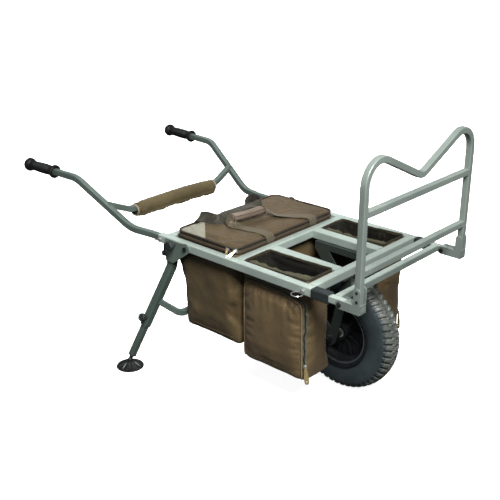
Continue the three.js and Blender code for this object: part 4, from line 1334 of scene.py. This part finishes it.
def lid_zip():
    """The zip round the lid's edge, with two sliders at the near front corner."""
    outline = lid_loop(2.6, 300)
    path = np.array([(x, y, 14.6) for x, y in outline])
    centre = np.array([(LID_REAR + LID_FRONT) / 2, 0])
    ahead = np.roll(outline, -1, 0) - np.roll(outline, 1, 0)
    normals = np.stack([ahead[:, 1], -ahead[:, 0], np.zeros(len(ahead))], 1)
    normals = unit(normals * np.sign(((outline - centre) * normals[:, :2]).sum(1))[:, None])
    zip_fastener("lid_zip", path, normals, "bag_lid", 10.0, True)
    for number, (x, y) in enumerate(((262, -LID_HALF), (LID_FRONT - 8, -LID_HALF + 4))):
        index = np.argmin(np.hypot(path[:, 0] - x, path[:, 1] - y))
        place, out = path[index], normals[index]
        run = path[(index + 1) % len(path)] - place
        hang = np.array([-0.25, -0.8, -0.5]) if number else np.array([0.1, -0.35, -1.0])
        slider(f"lid_zip_{number + 1}", place + out * 1.4, run if number else -run, out, "bag_lid",
               hang, (0.6, -0.6, 0.7), PULL if number else BRASS, 37 if number else 15,
               11 if number else 7)


def lid_patch(surface):
    """A lighter panel sewn across the lid's rear corner on the right."""
    corners = np.array([(46, -151), (64, -147), (163, -244), (72, -246), (44, -236)], float)
    rows, columns = 24, 24
    grid = []
    for i in range(rows):
        v = i / (rows - 1)
        left = corners[0] + (corners[4] - corners[0]) * min(1, v * 1.12)
        left = left if v < 0.9 else corners[4] + (corners[3] - corners[4]) * (v - 0.9) / 0.1
        right = corners[1] + (corners[2] - corners[1]) * v
        for j in range(columns):
            x, y = left + (right - left) * j / (columns - 1)
            hit, _ = surface.drop((x, y, 60), (0, 0, -1))
            grid.append(hit + (0, 0, 0.5))
    made = piece("lid_patch", grid, grid_faces(rows, columns), PATCH, "bag_lid", 60)
    fix_normals(made)
    modifier(made, "SOLIDIFY", thickness=0.9 * MM, offset=0)


# ---- straps

STRAP_WIDTH = 38
GRIP_NEAR, GRIP_FAR = np.array([147, -112, 52.0]), np.array([166, 24, 52.0])


def straps():
    """Two front strap halves that meet in a grip, and the rear strap that lies behind it."""
    out, up = (1, 0, 0.05), (0, 0, 1)
    near = [((299.5, -90, 2), out), ((301, -90, 12), out), ((298, -90, 22), (0.9, 0, 0.5)),
            ((286, -90, 27.2), (0.2, 0, 1)), ((262, -92, 28.6), up), ((225, -101, 29.2), up),
            ((190, -109, 30.5), up), ((168, -115, 35), (0.35, -0.3, 1)),
            ((152, -120, 44), (0.2, -0.8, 0.9)), ((146, -112, 50), (0, -0.5, 1)),
            ((149, -90, 52), up), ((152, -66, 52), up)]
    strap("strap_front_near", near, WEBBING,
          narrow=[(0, 1), (0.62, 1), (0.8, 0.7), (0.86, 0.55), (1, 0.5)])
    far = [((299.5, 128, 2), out), ((301, 128, 12), out), ((298, 128, 22), (0.9, 0, 0.5)),
           ((286, 126, 27.2), (0.2, 0, 1)), ((266, 115, 28.6), up), ((242, 93, 29), up),
           ((216, 68, 30), (-0.1, 0.1, 1)), ((196, 54, 33), (0.3, 0.4, 1)),
           ((180, 45, 42), (0.7, 0.7, 0.5)), ((170, 34, 50), (0.4, 0.7, 0.7)),
           ((166, 20, 52.5), up), ((160, -10, 52), up)]
    strap("strap_front_far", far, WEBBING,
          narrow=[(0, 1), (0.55, 1), (0.75, 0.75), (0.86, 0.6), (1, 0.5)])
    back = (-1, 0, 0)
    rear = [((28.5, -146, 4), back), ((27.5, -146, 16), back), ((30, -146, 30), (-0.9, -0.3, 0.4)),
            ((42, -146, 40), (-0.3, -0.8, 0.6)), ((64, -140, 43), (0, -0.9, 0.5)),
            ((90, -137, 42), (0.2, -0.9, 0.35)), ((108, -130, 41), (0.7, -0.6, 0.4)),
            ((111, -112, 42), (0.9, 0.1, 0.5)), ((105, -88, 45), (0.5, 0.1, 0.9)),
            ((101, -55, 47.5), (0.15, 0, 1)), ((102, -15, 48), up), ((104, 26, 48.5), up),
            ((109, 58, 44), (0.5, 0.1, 0.8)), ((106, 88, 41), (0.9, 0.4, 0.3)),
            ((84, 108, 41), (0.2, 1, 0.3)), ((54, 112, 41), (-0.2, 1, 0.2)),
            ((33, 108, 34), (-0.9, 0.5, 0.1)), ((27.5, 105, 18), back), ((28.5, 104, 4), back)]
    strap("strap_rear", rear, DARK_WEBBING, 130)
    strap_grip()


def strap_grip():
    """The wrap that holds the front strap's two ends together as a grip."""
    count, around = 40, 28
    points = []
    for i in range(count):
        u = i / (count - 1)
        middle = GRIP_NEAR + (GRIP_FAR - GRIP_NEAR) * u - (0, 0, 2.2 * math.sin(math.pi * u))
        for k in range(around):
            angle = math.tau * k / around
            c, s = math.cos(angle), math.sin(angle)
            wide = 16.5 * math.copysign(abs(c) ** 0.75, c)
            tall = 11.5 * math.copysign(abs(s) ** 0.75, s)
            swell = 1 + 0.05 * noise.noise(Vector((c * 1.4, s * 1.4, u * 5)))
            points.append(middle + np.array([wide * swell, -wide * 0.1, tall * swell]))
    wrap = piece("strap_grip", points, tube_faces(count, around), WRAP, "bag_lid", 50)
    fix_normals(wrap)
    grid = np.array(points).reshape(count, around, 3)
    for end, row in (("near", 1), ("far", count - 2)):
        loop = grid[row]
        piping(f"strap_grip_edge_{end}", loop.mean(0) + (loop - loop.mean(0)) * 1.03, 1.5,
               "bag_lid", EDGE, closed=True)
    piping("strap_grip_seam", grid[2:-2, 2] + (0, 0, 0.6), 1.0, "bag_lid", EDGE)


# ---- handle pad

PAD_LENGTH, PAD_RADIUS = 384.0, 24.6


def handle_pad():
    """The padded wrap round the handles' cross tube."""
    low, high = node_box("handle_pad")
    centre = (low + high) / 2
    ends = (PAD_LENGTH / 2 - 2) * np.array([-1, 1])
    rings = []
    for y in np.linspace(*ends, 30):
        closeness = min(1, (PAD_LENGTH / 2 - abs(y)) / 10 + 0.35) ** 0.3
        rings.append([(centre[0] + PAD_RADIUS * closeness * math.cos(a), y,
                       centre[2] + PAD_RADIUS * closeness * math.sin(a))
                      for a in np.arange(40) * math.tau / 40])

    def held(points):
        x, y, z = points.T
        angle = np.arctan2(z - centre[2], x - centre[0])
        seam = np.abs(angle - math.radians(-75)) < 0.14
        return np.where((np.abs(y) > PAD_LENGTH / 2 - 8) | seam, 1.0, 0)

    _, points, faces = inflated("handle_pad_form", block(rings), 4.5, held, 4.5, 4.0, 0.01)
    outward = normals_of(points, faces)
    body = np.clip((PAD_LENGTH / 2 - 8 - np.abs(points[:, 1])) / 10, 0, 1)
    folds = turbulence(points, (40, 90, 40), np.array([2.0, 5.0, 8.0]))
    creases = creased(points, (60, 34, 60), (6.0, 1.0, 3.0), 3.5)
    points = points + outward * (body * (1.3 * folds - 1.1 * creases))[:, None]
    made = piece("handle_pad_wrap", points, faces, PAD, "handles", 60,
                 materials=[FOAM], replaces=["handle_pad"])
    repaint(made, 1, lambda place, normal: abs(normal.y) > 0.85)
    smoothed(made)
    surface = Surface(points, faces)
    for side, sign in SIDES.items():
        pad_end(side, sign, centre, surface)
    pad_flap(centre, surface)


def pad_end(side, sign, centre, surface):
    """The binding round one end of the pad, and the slanting stitches beside it."""
    turns = np.arange(48) * math.tau / 48
    rays = np.stack([np.cos(turns), 0 * turns, np.sin(turns)], 1)

    def girdle(y):
        middle = np.array([centre[0], y, centre[2]])
        return np.array([surface.drop(middle + 40 * ray, -40 * ray)[0] for ray in rays])

    y = sign * (PAD_LENGTH / 2 - 3)
    hits = girdle(y)
    out = unit(hits - hits.mean(0))
    points, faces = sweep(hits + out * 0.3 + (0, sign * 2.0, 0), flat(3.0, 7.0, 4), out, True)
    piece(f"handle_pad_binding_{side}", points, faces, BINDING, "handles")
    loop = girdle(y - sign * 8.5)
    stitches(f"handle_pad_stitches_{side}", np.vstack([loop, loop[:1]]),
             np.vstack([out, out[:1]]), "handles", EDGE, 8.5, 7.5, 0.9,
             math.radians(62))


def pad_flap(centre, surface):
    """The wrap's loose edge hangs along the underside, lower toward the far end."""
    rows, columns = 110, 8
    grid = []
    for y in np.linspace(-PAD_LENGTH / 2 + 2, PAD_LENGTH / 2 - 2, rows):
        reach = 9 + 5 * (y / PAD_LENGTH + 0.5) + 2.0 * math.sin(y / 19) + 1.2 * math.sin(y / 7)
        hit, out = surface.drop((centre[0] + 36, y, centre[2] - 24), (-36, 0, 24))
        down = np.array([-0.25, 0, -1.0])
        for v in np.linspace(0, 1, columns):
            curl = 1.6 * math.sin(math.pi * v) + 0.8 * math.sin(y / 13) * v
            grid.append(hit + out * (0.8 + curl) + down * reach * (v - 0.25))
    faces = [face[::-1] for face in grid_faces(rows, columns)]
    flap = piece("handle_pad_flap", grid, faces, PAD, "handles", 60)
    modifier(flap, "SOLIDIFY", thickness=1.6 * MM, offset=0)
    smoothed(flap)


def bolt_head(name, place, out, radius, height, body):
    """A low domed bolt head that stands on a face."""
    profile = [(0.2, height), (radius * 0.5, height * 0.92), (radius * 0.85, height * 0.6),
               (radius, height * 0.2), (radius, -0.3)]
    made = piece(name, *lathe(profile, 24, place, out), BOLT, body, 35, slot="zinc")
    fix_normals(made)


def bracket_details():
    """Two bolts through each bracket's ear, and the plug in its front end."""
    for side, sign in SIDES.items():
        low, high = node_box(f"rack_bracket_{side}")
        face = sign * max(abs(low[1]), abs(high[1]))
        for number, (x, z) in enumerate(((high[0] - 11, 38), (high[0] - 10, 11)), 1):
            bolt_head(f"ear_bolt_{side}_{number}", (x, face, z), (0, sign, 0), 4.4, 2.2, "rack")
        middle = (high[0], (low[1] + high[1]) / 2, -12.5)
        for part, half, deep, finish, slot in (
                ("seal", (13, 10.2), 0.9, BLACK, "black_plastic"),
                ("plug", (11.4, 8.6), 2.0, SHADED_RACK_PAINT, SLOT_OF[f"rack_bracket_{side}"])):
            outline = rounded(-half[0], half[0], -half[1], half[1], 2.4)
            points, faces = plate(outline, [], deep, middle, (0, 1, 0), (0, 0, 1))
            made = piece(f"bracket_{part}_{side}", points, faces, finish, "rack", 35, slot=slot)
            bevelled(made, 0.3)


for side in SIDES:
    pouch(side)
bag()
lid()
straps()
handle_pad()
camera()
studio()
hard_parts()
bracket_details()
tyre()
for side in SIDES:
    grip(side)
    foot(side)
